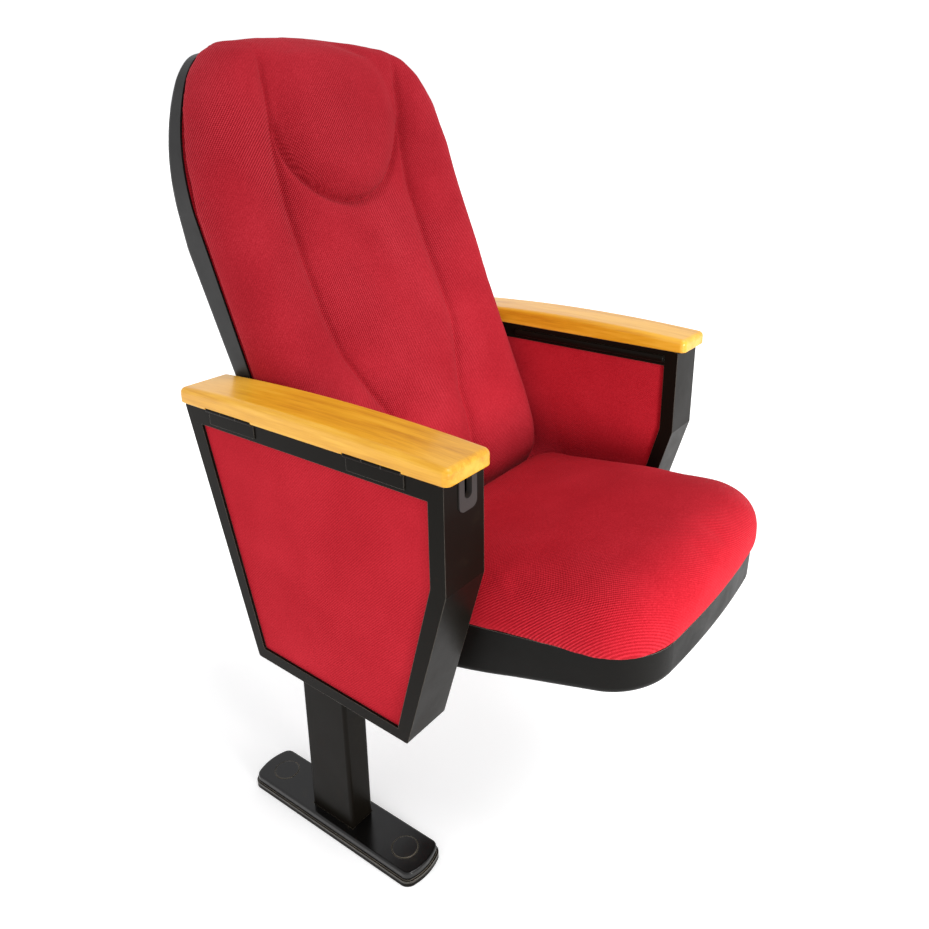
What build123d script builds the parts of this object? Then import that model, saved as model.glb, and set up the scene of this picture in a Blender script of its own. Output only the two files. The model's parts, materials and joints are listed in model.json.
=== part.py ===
from build123d import *
import os
from math import atan2, cos, radians, sin, sqrt

# Tip-up auditorium seat, one place wide, with a writing tablet stowed in the sitter's right arm.
# Millimetres. Z is up, the sitter faces -Y and has +X on the left hand.
# The origin lies on the floor, midway between the four floor anchors.
# Each side piece is drawn on the +X side; the -X one is its mirror image.

# ---------------------------------------------------------------- driving dimensions
# the two standards
standard_spacing = 580.0      # between the centre planes of the two arm boxes
arm_width = 70.0              # thickness of an arm box
arm_front = -230.0            # front face, from the post's centre
arm_top = 609.0               # upper face of the steel box, under the wood
arm_rear_top = 204.0          # upper rear corner
arm_knee = 474.0              # height where the front face breaks back
arm_toe_y, arm_toe_z = -165.0, 245.0     # lower front corner
arm_heel_y, arm_heel_z = 106.0, 255.0    # lower rear corner
sheet = 2.0                   # steel sheet of the box
bend_radius = 4.0
lip_depth = 2.0               # turned-in edge round each side opening
border_top = 25.0
border_front = 22.0
border_bottom = 16.0
border_rear = 24.0

# fabric side panels and the steel behind the inner one
panel_lap = 8.0               # how far a panel runs behind the border
cover_thick = 2.5             # fabric over thin foam
board_thick = 4.5             # plywood
spine_thick = 4.0             # steel plate that carries the seat pivot and the back
spine_top = 560.0
spine_bottom = 285.0
spine_front = -118.0

# post, foot and floor anchors
post_thick = 40.0
post_deep = 80.0
post_wall = 2.5
post_top = 330.0
foot_length = 320.0
foot_width = 70.0
foot_end_bow = 8.0
foot_corner = 15.0
plate_thick = 6.0
foot_cover_height = 14.0
foot_cover_step = 2.5
foot_cover_wall = 2.5
foot_cover_round = 3.0
anchor_spacing = 238.0
anchor_hole = 6.5             # radius
cap_radius = 17.6
cap_groove = 0.8              # ring gap round each cap
cap_seat = 1.5                # how deep a cap sits in the cover
cap_rise = 0.4
cap_plug = 14.0

# round bar welded along the box, under the wood, on the sitter's side
rail_radius = 6.0
rail_drop = 14.0              # its axis, below the top of the box
rail_front, rail_rear = -208.0, 74.0

# wooden armrests
wood_front, wood_rear = -241.0, 207.0
wood_overhang_out = 6.5
wood_overhang_in = 2.0
wood_thick_mid = 28.0
wood_thick_end = 20.0
wood_corner = 9.0
wood_edge = 8.0
lid_gap = 0.3                 # under the armrest that opens

# butt hinges of the opening armrest
hinge_length = 86.0
hinge_centres = (109.0, -134.0)
hinge_leaf = 1.5
hinge_leaf_width = 20.0
knuckle_radius = 3.0
hinge_pin_radius = 1.5
running_gap = 0.05            # radial, at every turning pin
small_gap = 0.3               # between pieces that move past one another

# mouth for the tablet's arm in the front of the right box
slot_inset = 5.0              # slot centre, inward from the box's centre plane
slot_width = 13.0
slot_bottom = 579.0
liner_wall = 3.0
liner_flange = 9.0
liner_flange_thick = 1.5
liner_top = 605.0
liner_depth = 6.0

# writing tablet, folded down inside the right box
tablet_length = 294.0
tablet_height = 242.0
tablet_thick = 12.0
tablet_front = -165.0
tablet_top = 592.0
tablet_corner = 45.0
tablet_bar_thick = 6.0
tablet_bar_height = 22.0
tablet_leaf_thick = 2.0
tablet_pivot_y, tablet_pivot_z = -194.0, 582.0
tablet_pin_radius = 5.0
tablet_ear_thick = 3.0
tablet_ear_gap = 5.0

# seat: plan outline on its rim plane, which leans back
seat_rake = 4.0               # degrees
seat_rim_z = 350.0            # rim plane above the origin
seat_side_gap = 7.0           # to the arm boxes, at the rear corners
seat_rear = 14.0
seat_nose = -418.0
seat_nose_half = 190.0        # half width at the virtual front corners
seat_nose_bow = 12.0
seat_corner = 80.0
seat_rear_corner = 20.0
pan_wall = 3.0
pan_draft = 9.0               # inward lean of the wall over its full depth
pan_depth_nose = 44.0
pan_depth_front, pan_front_at = 70.0, -230.0
pan_depth_mid, pan_mid_at = 80.5, -110.0
pan_depth_rear = 66.0
pan_edge = 12.0
pan_boss = 7.0
pan_screw_radius = 2.0
pan_screw_places = ((140.0, -60.0), (140.0, -200.0), (125.0, -330.0))
rib_thick = 2.5
rib_cross_at = (-130.0, -268.0)
rib_long_at = (-62.0, 62.0)
rib_half_span = 172.0
seat_board_thick = 12.0
seat_crown = 70.0             # cushion height over the rim
seat_top_rake = 0.08          # the crown rises towards the front by this slope
seat_puff = 8.0               # how far the cushion swells past the rim
seat_rear_roll = 1.6          # the crown falls away this much faster at the rear

# tip-up pivot
pivot_y, pivot_w = -68.0, -33.0          # on the rim plane's own axes
tip_angle = 70.0
pivot_pin_radius = 8.0
bush_wall = 3.0
hinge_arm_thick = 6.0
hinge_arm_x = 200.0           # inner face of the arm under the seat board
hinge_arm_front, hinge_arm_rear = -190.0, 4.0
hinge_flange_width = 26.0
hinge_flange_thick = 4.0
hinge_eye_radius = 28.0
stop_tooth_half = 12.0        # degrees
stop_lug_half = 8.0
stop_play = 0.5
stop_hub_radius = 17.0
stop_reach = 26.0
stop_tooth_angle = 170.0
bracket_radius = 34.0
bracket_thick = 6.0
bracket_hub = 14.0
bracket_hub_rise = 7.0
bracket_screw_circle = 24.0
bracket_screw_radius = 4.0
spring_wire = 1.4
spring_radius = 15.3
spring_turns = 3
spring_pitch = 3.3
spring_leg = 34.0

# back: seam line where the cushion meets the shell, in side view
back_bottom = 352.0
back_seam_y = 57.3            # at the bottom
back_bend_z, back_bend_y = 840.0, 242.0
back_top, back_top_y = 1066.0, 312.5
back_side_gap = 8.0           # to the arm boxes
back_flare = 5.0              # extra half width at shoulder height
back_shoulder_z = 840.0
back_shoulder_radius, back_shoulder_turn = 312.0, 31.5
back_crown_radius, back_crown_turn = 114.0, 54.0
back_foot_corner = 60.0
shell_top = 1041.0            # the pad stands over it
shell_corner = 45.0
shell_depth_bottom = 26.0
shell_bend_z, shell_depth_bend = 790.0, 47.0
shell_depth_top = 25.0
shell_wall = 3.0
shell_edge = 9.0
back_board_thick = 10.0
back_seam_inset = 1.5

# steel angles that hold the back to the arm boxes
angle_thick = 4.0
angle_leg_back = 52.0
angle_leg_arm = 44.0
angle_from, angle_to = 45.0, 165.0
angle_bolt_at = (65.0, 145.0)
angle_bolt_radius = 4.0
angle_screw_inset = 30.0
angle_screw_length = 20.0
bolt_head_rise = 4.0
bolt_head_radius = 6.5
bolt_clear = 0.1              # radial, round each bolt and screw

# ---------------------------------------------------------------- worked-out places
standard_x = standard_spacing / 2
inner_face = standard_x - arm_width / 2
outer_face = standard_x + arm_width / 2
panel_in = inner_face + sheet + lip_depth           # visible face of the inner fabric panel
panel_out = outer_face - sheet - lip_depth
board_in = panel_in + cover_thick
spine_in = board_in + board_thick
spine_out = spine_in + spine_thick
board_out = panel_out - cover_thick
cavity_out = board_out - board_thick
slot_x = standard_x - slot_inset
lid_bottom = arm_top + lid_gap
hinge_axis_x = outer_face + small_gap + knuckle_radius
hinge_axis_z = lid_bottom
seat_half_rear = inner_face - seat_side_gap
seat_frame = Pos(0, 0, seat_rim_z) * Rot(-seat_rake, 0, 0)
pivot_world = (seat_frame * Pos(0, pivot_y, pivot_w)).position
bracket_face = panel_in - bracket_thick
pin_inner_end = hinge_arm_x - 14.0
back_half_low = inner_face - back_side_gap


# ---------------------------------------------------------------- small helpers
def side_prism(face, x_from, x_to):
    """Stretch a side-view face, drawn as (Y, Z), along X."""
    return extrude(Plane.YZ.offset(x_from) * face, amount=x_to - x_from)


def front_prism(face, y_from, y_to):
    """Stretch a front-view face, drawn as (X, Z), along Y."""
    return extrude(Plane.XZ.offset(-y_to) * face, amount=y_to - y_from)


def rod_x(radius, x_from, x_to, y, z):
    """A round bar along X."""
    low, high = min(x_from, x_to), max(x_from, x_to)
    bar = Cylinder(radius, high - low, align=(Align.CENTER, Align.CENTER, Align.MIN))
    return Plane.YZ.offset(low) * Pos(y, z) * bar


def block(x_from, x_to, y_from, y_to, z_from, z_to):
    """A rectangular block between two corners."""
    box = Box(x_to - x_from, y_to - y_from, z_to - z_from, align=(Align.MIN,) * 3)
    return Pos(x_from, y_from, z_from) * box


def polygon(*points):
    """A flat face with straight sides."""
    return make_face(Polyline(*points, close=True))


def sector(radius_in, radius_out, angle, half_angle):
    """A piece of a ring about the origin, drawn in the plane."""
    def at(radius, turn):
        return radius * cos(radians(turn)), radius * sin(radians(turn))

    low, high = angle - half_angle, angle + half_angle
    outline = [
        ThreePointArc(at(radius_in, low), at(radius_in, angle), at(radius_in, high)),
        Line(at(radius_in, high), at(radius_out, high)),
        ThreePointArc(at(radius_out, high), at(radius_out, angle), at(radius_out, low)),
        Line(at(radius_out, low), at(radius_in, low)),
    ]
    return make_face(outline)


def blend(value, table):
    """Straight-line reading of a short table of (place, amount) pairs."""
    for (p0, a0), (p1, a1) in zip(table, table[1:]):
        if value <= p1:
            return a0 + (a1 - a0) * (value - p0) / (p1 - p0)
    return table[-1][1]


def both_sides(shape):
    """The +X piece and its mirror image, as one group."""
    return Compound(children=[*shape.solids(), *mirror(shape, about=Plane.YZ).solids()])


# ---------------------------------------------------------------- foot and post
def foot_plan(grow=0.0):
    """Foot outline seen from above: straight sides, bowed ends, rounded corners."""
    half_w = foot_width / 2 + grow
    half_l = foot_length / 2 + grow
    shoulder = half_l - foot_end_bow
    edges = [
        Line((half_w, -shoulder), (half_w, shoulder)),
        ThreePointArc((half_w, shoulder), (0, half_l), (-half_w, shoulder)),
        Line((-half_w, shoulder), (-half_w, -shoulder)),
        ThreePointArc((-half_w, -shoulder), (0, -half_l), (half_w, -shoulder)),
    ]
    face = make_face(edges)
    return fillet(face.vertices(), max(foot_corner + grow, 2.0))


def base_plate():
    """Steel floor plate with its two anchor holes."""
    plate = extrude(foot_plan(), amount=plate_thick)
    for y in (-anchor_spacing / 2, anchor_spacing / 2):
        plate -= Pos(0, y, plate_thick / 2) * Cylinder(anchor_hole, plate_thick * 2)
    return Pos(standard_x, 0, 0) * plate


def foot_cover():
    """Moulded cover over the floor plate, open below, with holes for post and caps."""
    top = plate_thick + foot_cover_height
    wall = extrude(Pos(0, 0, plate_thick) * foot_plan(-foot_cover_step), amount=foot_cover_height)
    wall = fillet(wall.faces().sort_by(Axis.Z)[-1].edges(), foot_cover_round)
    brim = extrude(Pos(0, 0, plate_thick) * foot_plan(), amount=foot_cover_wall)
    hollow = extrude(
        Pos(0, 0, plate_thick) * foot_plan(-foot_cover_step - foot_cover_wall),
        amount=foot_cover_height - foot_cover_wall,
    )
    cover = wall + brim - hollow
    cover -= Pos(0, 0, top) * Box(post_thick, post_deep, foot_cover_height * 2)
    for y in (-anchor_spacing / 2, anchor_spacing / 2):
        cover -= Pos(0, y, top) * Cylinder(cap_radius + cap_groove, 2 * cap_seat)
        cover -= Pos(0, y, top) * Cylinder(cap_plug + bolt_clear, foot_cover_height)
    return Pos(standard_x, 0, 0) * cover


def foot_caps():
    """Two flat caps over the anchor bolts, each with a plug ring below."""
    floor = plate_thick + foot_cover_height - cap_seat
    disc = Cylinder(cap_radius, cap_seat + cap_rise, align=(Align.CENTER, Align.CENTER, Align.MIN))
    disc = chamfer(disc.edges().group_by(Axis.Z)[-1], cap_rise)
    plug = Cylinder(cap_plug, 6.0, align=(Align.CENTER, Align.CENTER, Align.MAX))
    plug -= Cylinder(cap_plug - 2.0, 20.0, align=(Align.CENTER, Align.CENTER, Align.MAX))
    cap = disc + plug
    places = [Pos(standard_x, y, floor) for y in (-anchor_spacing / 2, anchor_spacing / 2)]
    return Compound(children=[(place * cap).solids()[0] for place in places])


def post():
    """Rectangular steel tube from the floor plate up into the arm box."""
    height = post_top - plate_thick
    section = RectangleRounded(post_thick, post_deep, 5.0)
    section -= RectangleRounded(post_thick - 2 * post_wall, post_deep - 2 * post_wall, 2.5)
    return extrude(Pos(standard_x, 0, plate_thick) * section, amount=height)


def post_hole():
    """What the post takes out of the sheet it passes through."""
    return extrude(Pos(standard_x, 0, 0) * RectangleRounded(post_thick, post_deep, 5.0), amount=post_top)


# ---------------------------------------------------------------- arm box
def arm_rear_at(z):
    """Rear edge of the arm box at a height."""
    return arm_heel_y + (arm_rear_top - arm_heel_y) * (z - arm_heel_z) / (arm_top - arm_heel_z)


def arm_outline():
    """Side view of the arm box, without rounding."""
    return polygon(
        (arm_rear_top, arm_top), (arm_front, arm_top), (arm_front, arm_knee),
        (arm_toe_y, arm_toe_z), (arm_heel_y, arm_heel_z),
    )


def panel_opening():
    """Side opening of the box, through which the fabric panel shows."""
    slant = (arm_toe_y - arm_front) / (arm_knee - arm_toe_z)
    low = arm_toe_z + border_bottom
    return polygon(
        (arm_rear_at(arm_top - border_top) - border_rear, arm_top - border_top),
        (arm_front + border_front, arm_top - border_top),
        (arm_front + border_front, arm_knee + 4.0),
        (arm_toe_y - slant * border_bottom + border_front * 0.9, low),
        (arm_heel_y - border_rear * 0.5, arm_heel_z + border_bottom),
    )


def arm_frame(for_tablet):
    """Pressed steel box: a strip bent round the outline, with a turned border on both sides."""
    outline = fillet(arm_outline().vertices(), bend_radius)
    frame = side_prism(outline, inner_face, outer_face)
    frame -= side_prism(offset(outline, -sheet), inner_face + sheet, outer_face - sheet)
    opening = panel_opening()
    lip = offset(opening, sheet, kind=Kind.INTERSECTION)
    frame += side_prism(lip, inner_face + sheet, panel_in)
    frame += side_prism(lip, panel_out, outer_face - sheet)
    frame -= side_prism(opening, inner_face - sheet, outer_face + sheet)
    frame -= post_hole()
    frame -= wall_drillings(inner_face - 1, panel_in + 1)
    if for_tablet:
        frame -= block(spine_out, cavity_out, arm_front + 12, arm_rear_top - 16, arm_top - 9, arm_top + 9)
        throat = slot_face(slot_width + 2 * liner_wall, slot_bottom - liner_wall, arm_top + 9)
        frame -= front_prism(throat, arm_front - 9, arm_front + 14)
    else:
        for y in armrest_screw_places():
            frame -= Pos(standard_x, y, arm_top) * Cylinder(2.5 + bolt_clear, 6 * sheet)
    return frame


def slot_face(width, bottom, top):
    """U-shaped mouth in front view, open upward."""
    radius = width / 2
    straight = Pos(slot_x, (bottom + radius + top) / 2) * Rectangle(width, top - bottom - radius)
    return straight + Pos(slot_x, bottom + radius) * Circle(radius)


def slot_liner():
    """Plastic bush that lines the mouth for the tablet's arm."""
    mouth = slot_face(slot_width, slot_bottom, liner_top)
    throat = slot_face(slot_width + 2 * liner_wall, slot_bottom - liner_wall, liner_top)
    outer_low = slot_bottom - liner_flange - 5.0
    brim = Pos(slot_x, (outer_low + liner_top) / 2) * Rectangle(
        slot_width + 2 * liner_flange, liner_top - outer_low)
    brim = fillet(brim.vertices().group_by(Axis.Y)[0], liner_flange)
    liner = front_prism(throat, arm_front, arm_front + liner_depth)
    liner += front_prism(brim, arm_front - liner_flange_thick, arm_front)
    return liner - front_prism(mouth, arm_front - 5, arm_front + liner_depth + 5)


def spine_outline():
    """Side view of the plate behind the inner panel."""
    rear_gap = 10.0
    return polygon(
        (spine_front, spine_bottom), (spine_front, spine_bottom + 80), (20.0, spine_top),
        (arm_rear_at(spine_top) - rear_gap, spine_top), (arm_rear_at(spine_bottom) - rear_gap, spine_bottom),
    )


def panel_outline():
    """Side view of a fabric-covered panel."""
    return offset(panel_opening(), panel_lap, kind=Kind.INTERSECTION)


def wall_drillings(x_from, x_to):
    """Everything that passes through the inner panel: pivot pin, bracket screws, back bolts."""
    holes = rod_x(pivot_pin_radius + bolt_clear, x_from, x_to, pivot_world.Y, pivot_world.Z)
    for y, z in bracket_screw_points():
        holes += rod_x(bracket_screw_radius + bolt_clear, x_from, x_to, y, z)
    for y, z in angle_bolt_points():
        holes += rod_x(angle_bolt_radius + bolt_clear, x_from, x_to, y, z)
    return holes


def inner_panel_cover():
    return side_prism(panel_outline(), panel_in, board_in) - wall_drillings(panel_in - 1, board_in + 1)


def inner_panel_board():
    return side_prism(panel_outline(), board_in, spine_in) - wall_drillings(board_in - 1, spine_in + 1)


def spine_plate():
    return side_prism(spine_outline(), spine_in, spine_out) - wall_drillings(spine_in - 1, spine_out + 1)


def outer_panel_cover():
    return side_prism(panel_outline(), board_out, panel_out)


def outer_panel_board():
    return side_prism(panel_outline(), cavity_out, board_out)


def top_rail():
    """Half-round bar along the sitter's side of the box, just under the wood."""
    bar = Pos(inner_face, 0, arm_top - rail_drop) * Rot(90, 0, 0) * Cylinder(rail_radius, rail_rear - rail_front)
    bar = Pos(0, (rail_rear + rail_front) / 2, 0) * bar
    bar = fillet(bar.edges().filter_by(GeomType.CIRCLE), 2.5)
    return bar - block(inner_face, outer_face, rail_front - 9, rail_rear + 9, 0, arm_top + 9)


# ---------------------------------------------------------------- armrests
def armrest_screw_places():
    """Y places of the screws that hold the fixed armrest."""
    return (wood_front + 60, (wood_front + wood_rear) / 2, wood_rear - 60)


def armrest_wood(bottom):
    """Bent-topped solid wood armrest with softened edges."""
    x_in, x_out = inner_face - wood_overhang_in, outer_face + wood_overhang_out
    middle = (wood_front + wood_rear) / 2
    plan = Pos((x_in + x_out) / 2, middle) * RectangleRounded(x_out - x_in, wood_rear - wood_front, wood_corner)
    blank = extrude(Pos(0, 0, bottom) * plan, amount=wood_thick_mid + 5)
    end, top = bottom + wood_thick_end, bottom + wood_thick_mid
    side = make_face([
        Line((wood_front - 2, bottom), (wood_rear + 2, bottom)),
        Line((wood_rear + 2, bottom), (wood_rear + 2, end)),
        ThreePointArc((wood_rear + 2, end), (middle, top), (wood_front - 2, end)),
        Line((wood_front - 2, end), (wood_front - 2, bottom)),
    ])
    wood = blank & side_prism(side, x_in - 5, x_out + 5)
    wood = fillet(wood.faces().sort_by(Axis.Z)[-1].edges(), wood_edge)
    return fillet(wood.faces().sort_by(Axis.Z)[0].edges(), 2.5)


def armrest_fixed():
    wood = armrest_wood(arm_top)
    for y in armrest_screw_places():
        wood -= Pos(standard_x, y, arm_top) * Cylinder(2.5 + bolt_clear, 2 * armrest_screw_bite())
    return wood


def armrest_screw_bite():
    """How far a screw goes up into the wood."""
    return wood_thick_end * 0.6


def armrest_screws():
    """Pan-head screws from inside the box up into the fixed armrest."""
    length = armrest_screw_bite() + sheet
    shank = Pos(0, 0, -sheet) * Cylinder(2.5, length, align=(Align.CENTER, Align.CENTER, Align.MIN))
    head = Pos(0, 0, -sheet) * Cylinder(5.0, 3.0, align=(Align.CENTER, Align.CENTER, Align.MAX))
    screw = shank + chamfer(head.edges().group_by(Axis.Z)[0], 1.0)
    return Compound(children=[(Pos(standard_x, y, arm_top) * screw).solids()[0] for y in armrest_screw_places()])


def hinge_notch(y):
    """Shallow rebate under the opening armrest for one hinge."""
    return block(
        outer_face - hinge_leaf_width - 1, outer_face + wood_overhang_out + 1,
        y - hinge_length / 2 - 1, y + hinge_length / 2 + 1,
        lid_bottom - 1, lid_bottom + knuckle_radius + small_gap,
    )


def armrest_lid():
    """The armrest over the tablet, which swings outward on two butt hinges."""
    wood = armrest_wood(lid_bottom)
    for y in hinge_centres:
        wood -= hinge_notch(y)
    for pocket in buffer_places():
        wood -= pocket * Cylinder(5.0, 6.0)
    return wood


def buffer_places():
    """Where the two rubber buffers sit under the lid."""
    x = inner_face + sheet + 6
    return [Pos(x, y, lid_bottom) for y in (wood_front + 45, wood_rear - 45)]


def lid_buffers():
    """Rubber discs let into the lid, a little proud of it."""
    disc = Pos(0, 0, 3.0 - 3.2 / 2) * Cylinder(5.0, 3.2)
    return Compound(children=[(place * disc).solids()[0] for place in buffer_places()])


def knuckle(y_from, y_to, bore):
    """One barrel of a hinge."""
    length = y_to - y_from
    ring = Circle(knuckle_radius) - Circle(bore)
    return extrude(Plane.XZ.offset(-y_to) * Pos(hinge_axis_x, hinge_axis_z) * ring, amount=length)


def knuckle_spans(y):
    """The three barrels along a hinge: frame, lid, frame."""
    third = hinge_length / 3
    start = y - hinge_length / 2
    return (
        (start, start + third - small_gap / 2),
        (start + third + small_gap / 2, start + 2 * third - small_gap / 2),
        (start + 2 * third + small_gap / 2, start + hinge_length),
    )


def hinge_frame_leaf(y):
    """Leaf on the outside of the box, with the outer barrels."""
    first, _, last = knuckle_spans(y)
    leaf = block(
        outer_face, outer_face + hinge_leaf, first[0], last[1], arm_top - hinge_leaf_width, hinge_axis_z - 2.0)
    bore = hinge_pin_radius
    barrels = knuckle(*first, bore) + knuckle(*last, bore)
    leaf += block(outer_face, outer_face + hinge_leaf, *first, hinge_axis_z - 2.2, hinge_axis_z)
    leaf += block(outer_face, outer_face + hinge_leaf, *last, hinge_axis_z - 2.2, hinge_axis_z)
    leaf -= Pos(hinge_axis_x, y, hinge_axis_z) * Rot(90, 0, 0) * Cylinder(bore, hinge_length * 2)
    middle = knuckle_spans(y)[1]
    relief = Pos(hinge_axis_x, (middle[0] + middle[1]) / 2, hinge_axis_z) * Rot(90, 0, 0)
    leaf -= relief * Cylinder(knuckle_radius + small_gap, middle[1] - middle[0] + 2 * small_gap)
    return leaf + barrels


def hinge_lid_leaf(y):
    """Leaf let into the lid, with the middle barrel."""
    first, middle, last = knuckle_spans(y)
    top = hinge_axis_z + knuckle_radius + small_gap
    leaf = block(
        outer_face - hinge_leaf_width, hinge_axis_x - knuckle_radius - small_gap,
        first[0], last[1], top - hinge_leaf, top)
    tongue = block(hinge_axis_x - knuckle_radius - small_gap, hinge_axis_x, *middle, top - hinge_leaf, top)
    barrel = knuckle(*middle, hinge_pin_radius + running_gap)
    shaft = Pos(hinge_axis_x, y, hinge_axis_z) * Rot(90, 0, 0) * Cylinder(
        hinge_pin_radius + running_gap, hinge_length * 2)
    return (leaf + tongue + barrel) - shaft


def hinge_group(piece):
    """The same hinge piece at both places."""
    return Compound(children=[piece(y).solids()[0] for y in hinge_centres])


def hinge_pin(y):
    return Pos(hinge_axis_x, y, hinge_axis_z) * Rot(90, 0, 0) * Cylinder(hinge_pin_radius, hinge_length)


# ---------------------------------------------------------------- writing tablet, stowed
def bar_faces():
    """Inner and outer face of the tablet's steel bar, centred on the slot."""
    return slot_x - tablet_bar_thick / 2, slot_x + tablet_bar_thick / 2


def tablet_board():
    """Moulded writing board, hanging on edge in the box."""
    inner = bar_faces()[1] + tablet_leaf_thick
    middle_y = tablet_front + tablet_length / 2
    face = Pos(middle_y, tablet_top - tablet_height / 2) * RectangleRounded(
        tablet_length, tablet_height, tablet_corner)
    board = side_prism(face, inner, inner + tablet_thick)
    edges = board.edges().filter_by(GeomType.LINE).filter_by(Axis.X, reverse=True)
    return chamfer(edges, 1.5) if len(edges) else board


def tablet_bar():
    """Flat steel arm with an eye round the tablet's pivot."""
    reach = tablet_front + tablet_length * 0.7
    bar = Pos((tablet_pivot_y + reach) / 2, tablet_pivot_z) * Rectangle(reach - tablet_pivot_y, tablet_bar_height)
    bar = bar + Pos(tablet_pivot_y, tablet_pivot_z) * Circle(tablet_bar_height / 2)
    bar -= Pos(tablet_pivot_y, tablet_pivot_z) * Circle(tablet_pin_radius + running_gap)
    return side_prism(bar, *bar_faces())


def tablet_flip_leaf():
    """Hinge leaf between the bar and the board."""
    length = 90.0
    start = tablet_front + tablet_length * 0.55 - length / 2
    x = bar_faces()[1]
    low = tablet_pivot_z - tablet_bar_height / 2
    return block(x, x + tablet_leaf_thick, start, start + length, low - 25, low + tablet_bar_height - 4)


def tablet_bracket():
    """U-shaped steel bracket on the front wall that holds the tablet's pivot."""
    gap = slot_width / 2 + tablet_ear_gap
    x_in, x_out = slot_x - gap - tablet_ear_thick, slot_x + gap + tablet_ear_thick
    low, high = tablet_pivot_z - 16, tablet_pivot_z + 14
    wall = arm_front + sheet
    bracket = block(x_in, x_out, wall, tablet_pivot_y + 12, low, high)
    hollow = block(x_in + tablet_ear_thick, x_out - tablet_ear_thick, wall + tablet_ear_thick,
                   tablet_pivot_y + 13, low - 1, high + 1)
    mouth = slot_face(slot_width + 2 * liner_wall + 2, slot_bottom - liner_wall - 1, high + 9)
    bracket -= hollow
    bracket -= front_prism(mouth, wall - 1, wall + tablet_ear_thick + 2)
    return bracket - rod_x(tablet_pin_radius, x_in - 1, x_out + 1, tablet_pivot_y, tablet_pivot_z)


def tablet_pin():
    gap = slot_width / 2 + tablet_ear_gap
    reach = gap + tablet_ear_thick
    return rod_x(tablet_pin_radius, slot_x - reach, slot_x + reach, tablet_pivot_y, tablet_pivot_z)


def tablet_rest():
    """Rubber pad on top of the post, under the stowed board."""
    low = tablet_top - tablet_height
    pad = Pos(standard_x, 0, post_top) * Box(
        post_thick, post_deep * 0.75, low - post_top, align=(Align.CENTER, Align.CENTER, Align.MIN))
    return fillet(pad.edges().filter_by(Axis.Z), 4.0)


# ---------------------------------------------------------------- seat
def seat_plan(grow=0.0):
    """Seat outline on its rim plane: tapered sides, bowed nose, rounded corners."""
    nose, rear = seat_nose - grow, seat_rear + grow
    half_n, half_r = seat_nose_half + grow, seat_half_rear + grow
    shoulder = nose + seat_nose_bow
    edges = [
        Line((half_n, shoulder), (half_r, rear)),
        Line((half_r, rear), (-half_r, rear)),
        Line((-half_r, rear), (-half_n, shoulder)),
        ThreePointArc((-half_n, shoulder), (0, nose), (half_n, shoulder)),
    ]
    face = make_face(edges)
    face = fillet(face.vertices().group_by(Axis.Y)[0], max(seat_corner + grow, 15.0))
    return fillet(face.vertices().group_by(Axis.Y)[-1], max(seat_rear_corner + grow, 6.0))


def pan_body(inset):
    """Outer shape of the pan, or its hollow when inset by the wall."""
    deep = 100.0
    walls = loft([seat_plan(-inset), Pos(0, 0, -deep) * seat_plan(-inset - pan_draft)], ruled=True)
    front, back = seat_nose - 30, seat_rear + 30
    belly = make_face([
        Line((back, 5), (front, 5)),
        Line((front, 5), (front, -pan_depth_nose + inset)),
        Line((front, -pan_depth_nose + inset), (pan_front_at, -pan_depth_front + inset)),
        ThreePointArc(
            (pan_front_at, -pan_depth_front + inset),
            (pan_mid_at, -pan_depth_mid + inset),
            (back, -pan_depth_rear + inset)),
        Line((back, -pan_depth_rear + inset), (back, 5)),
    ])
    body = walls & side_prism(belly, -400, 400)
    rounding = pan_edge - inset
    edges = [e for e in body.edges() if e.center().Z < -8 and not side_upright(e)]
    return fillet(edges, rounding)


def side_upright(edge):
    """True for an edge that runs down the pan's wall."""
    box = edge.bounding_box()
    return box.size.Z > 30 and box.size.X < 15 and box.size.Y < 15


def seat_pan():
    """Moulded seat pan: thin wall, ribs and screw bosses inside, holes for the pivot."""
    outer = pan_body(0.0)
    pan = outer - pan_body(pan_wall)
    span, low = rib_half_span, -seat_board_thick - 6
    ribs = Part()
    for y in rib_cross_at:
        ribs += block(-span, span, y, y + rib_thick, -100, low)
    for x in rib_long_at:
        ribs += block(x - rib_thick / 2, x + rib_thick / 2, rib_cross_at[1], rib_cross_at[0], -100, low)
    for x, y in screw_spots():
        ribs += block(x - pan_boss, x + pan_boss, y - rib_thick / 2, y + rib_thick / 2, -100, low - 20)
        ribs += Pos(x, y, -seat_board_thick) * Cylinder(
            pan_boss, 100, align=(Align.CENTER, Align.CENTER, Align.MAX))
    pan += ribs & outer
    for x, y in screw_spots():
        pan -= Pos(x, y, -seat_board_thick) * Cylinder(
            pan_screw_radius + bolt_clear, 200, align=(Align.CENTER, Align.CENTER, Align.CENTER))
    pivot_hole = rod_x(pivot_pin_radius + 5, -300, 300, pivot_y, pivot_w)
    return seat_frame * (pan - (pivot_hole & (outer - pan_body(pan_wall + 2))))


def screw_spots():
    """All places of the pan's screws."""
    return [(side * x, y) for x, y in pan_screw_places for side in (-1, 1)]


def pan_floor(y):
    """Depth of the pan's underside on the rim plane's axes."""
    front, back = seat_nose - 30, seat_rear + 30
    if y < pan_front_at:
        share = (y - front) / (pan_front_at - front)
        return -(pan_depth_nose + (pan_depth_front - pan_depth_nose) * share)
    arc = ThreePointArc(
        (pan_front_at, -pan_depth_front), (pan_mid_at, -pan_depth_mid), (back, -pan_depth_rear))
    centre, radius = arc.arc_center, arc.radius
    return centre.Y - sqrt(radius ** 2 - (y - centre.X) ** 2)


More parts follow.
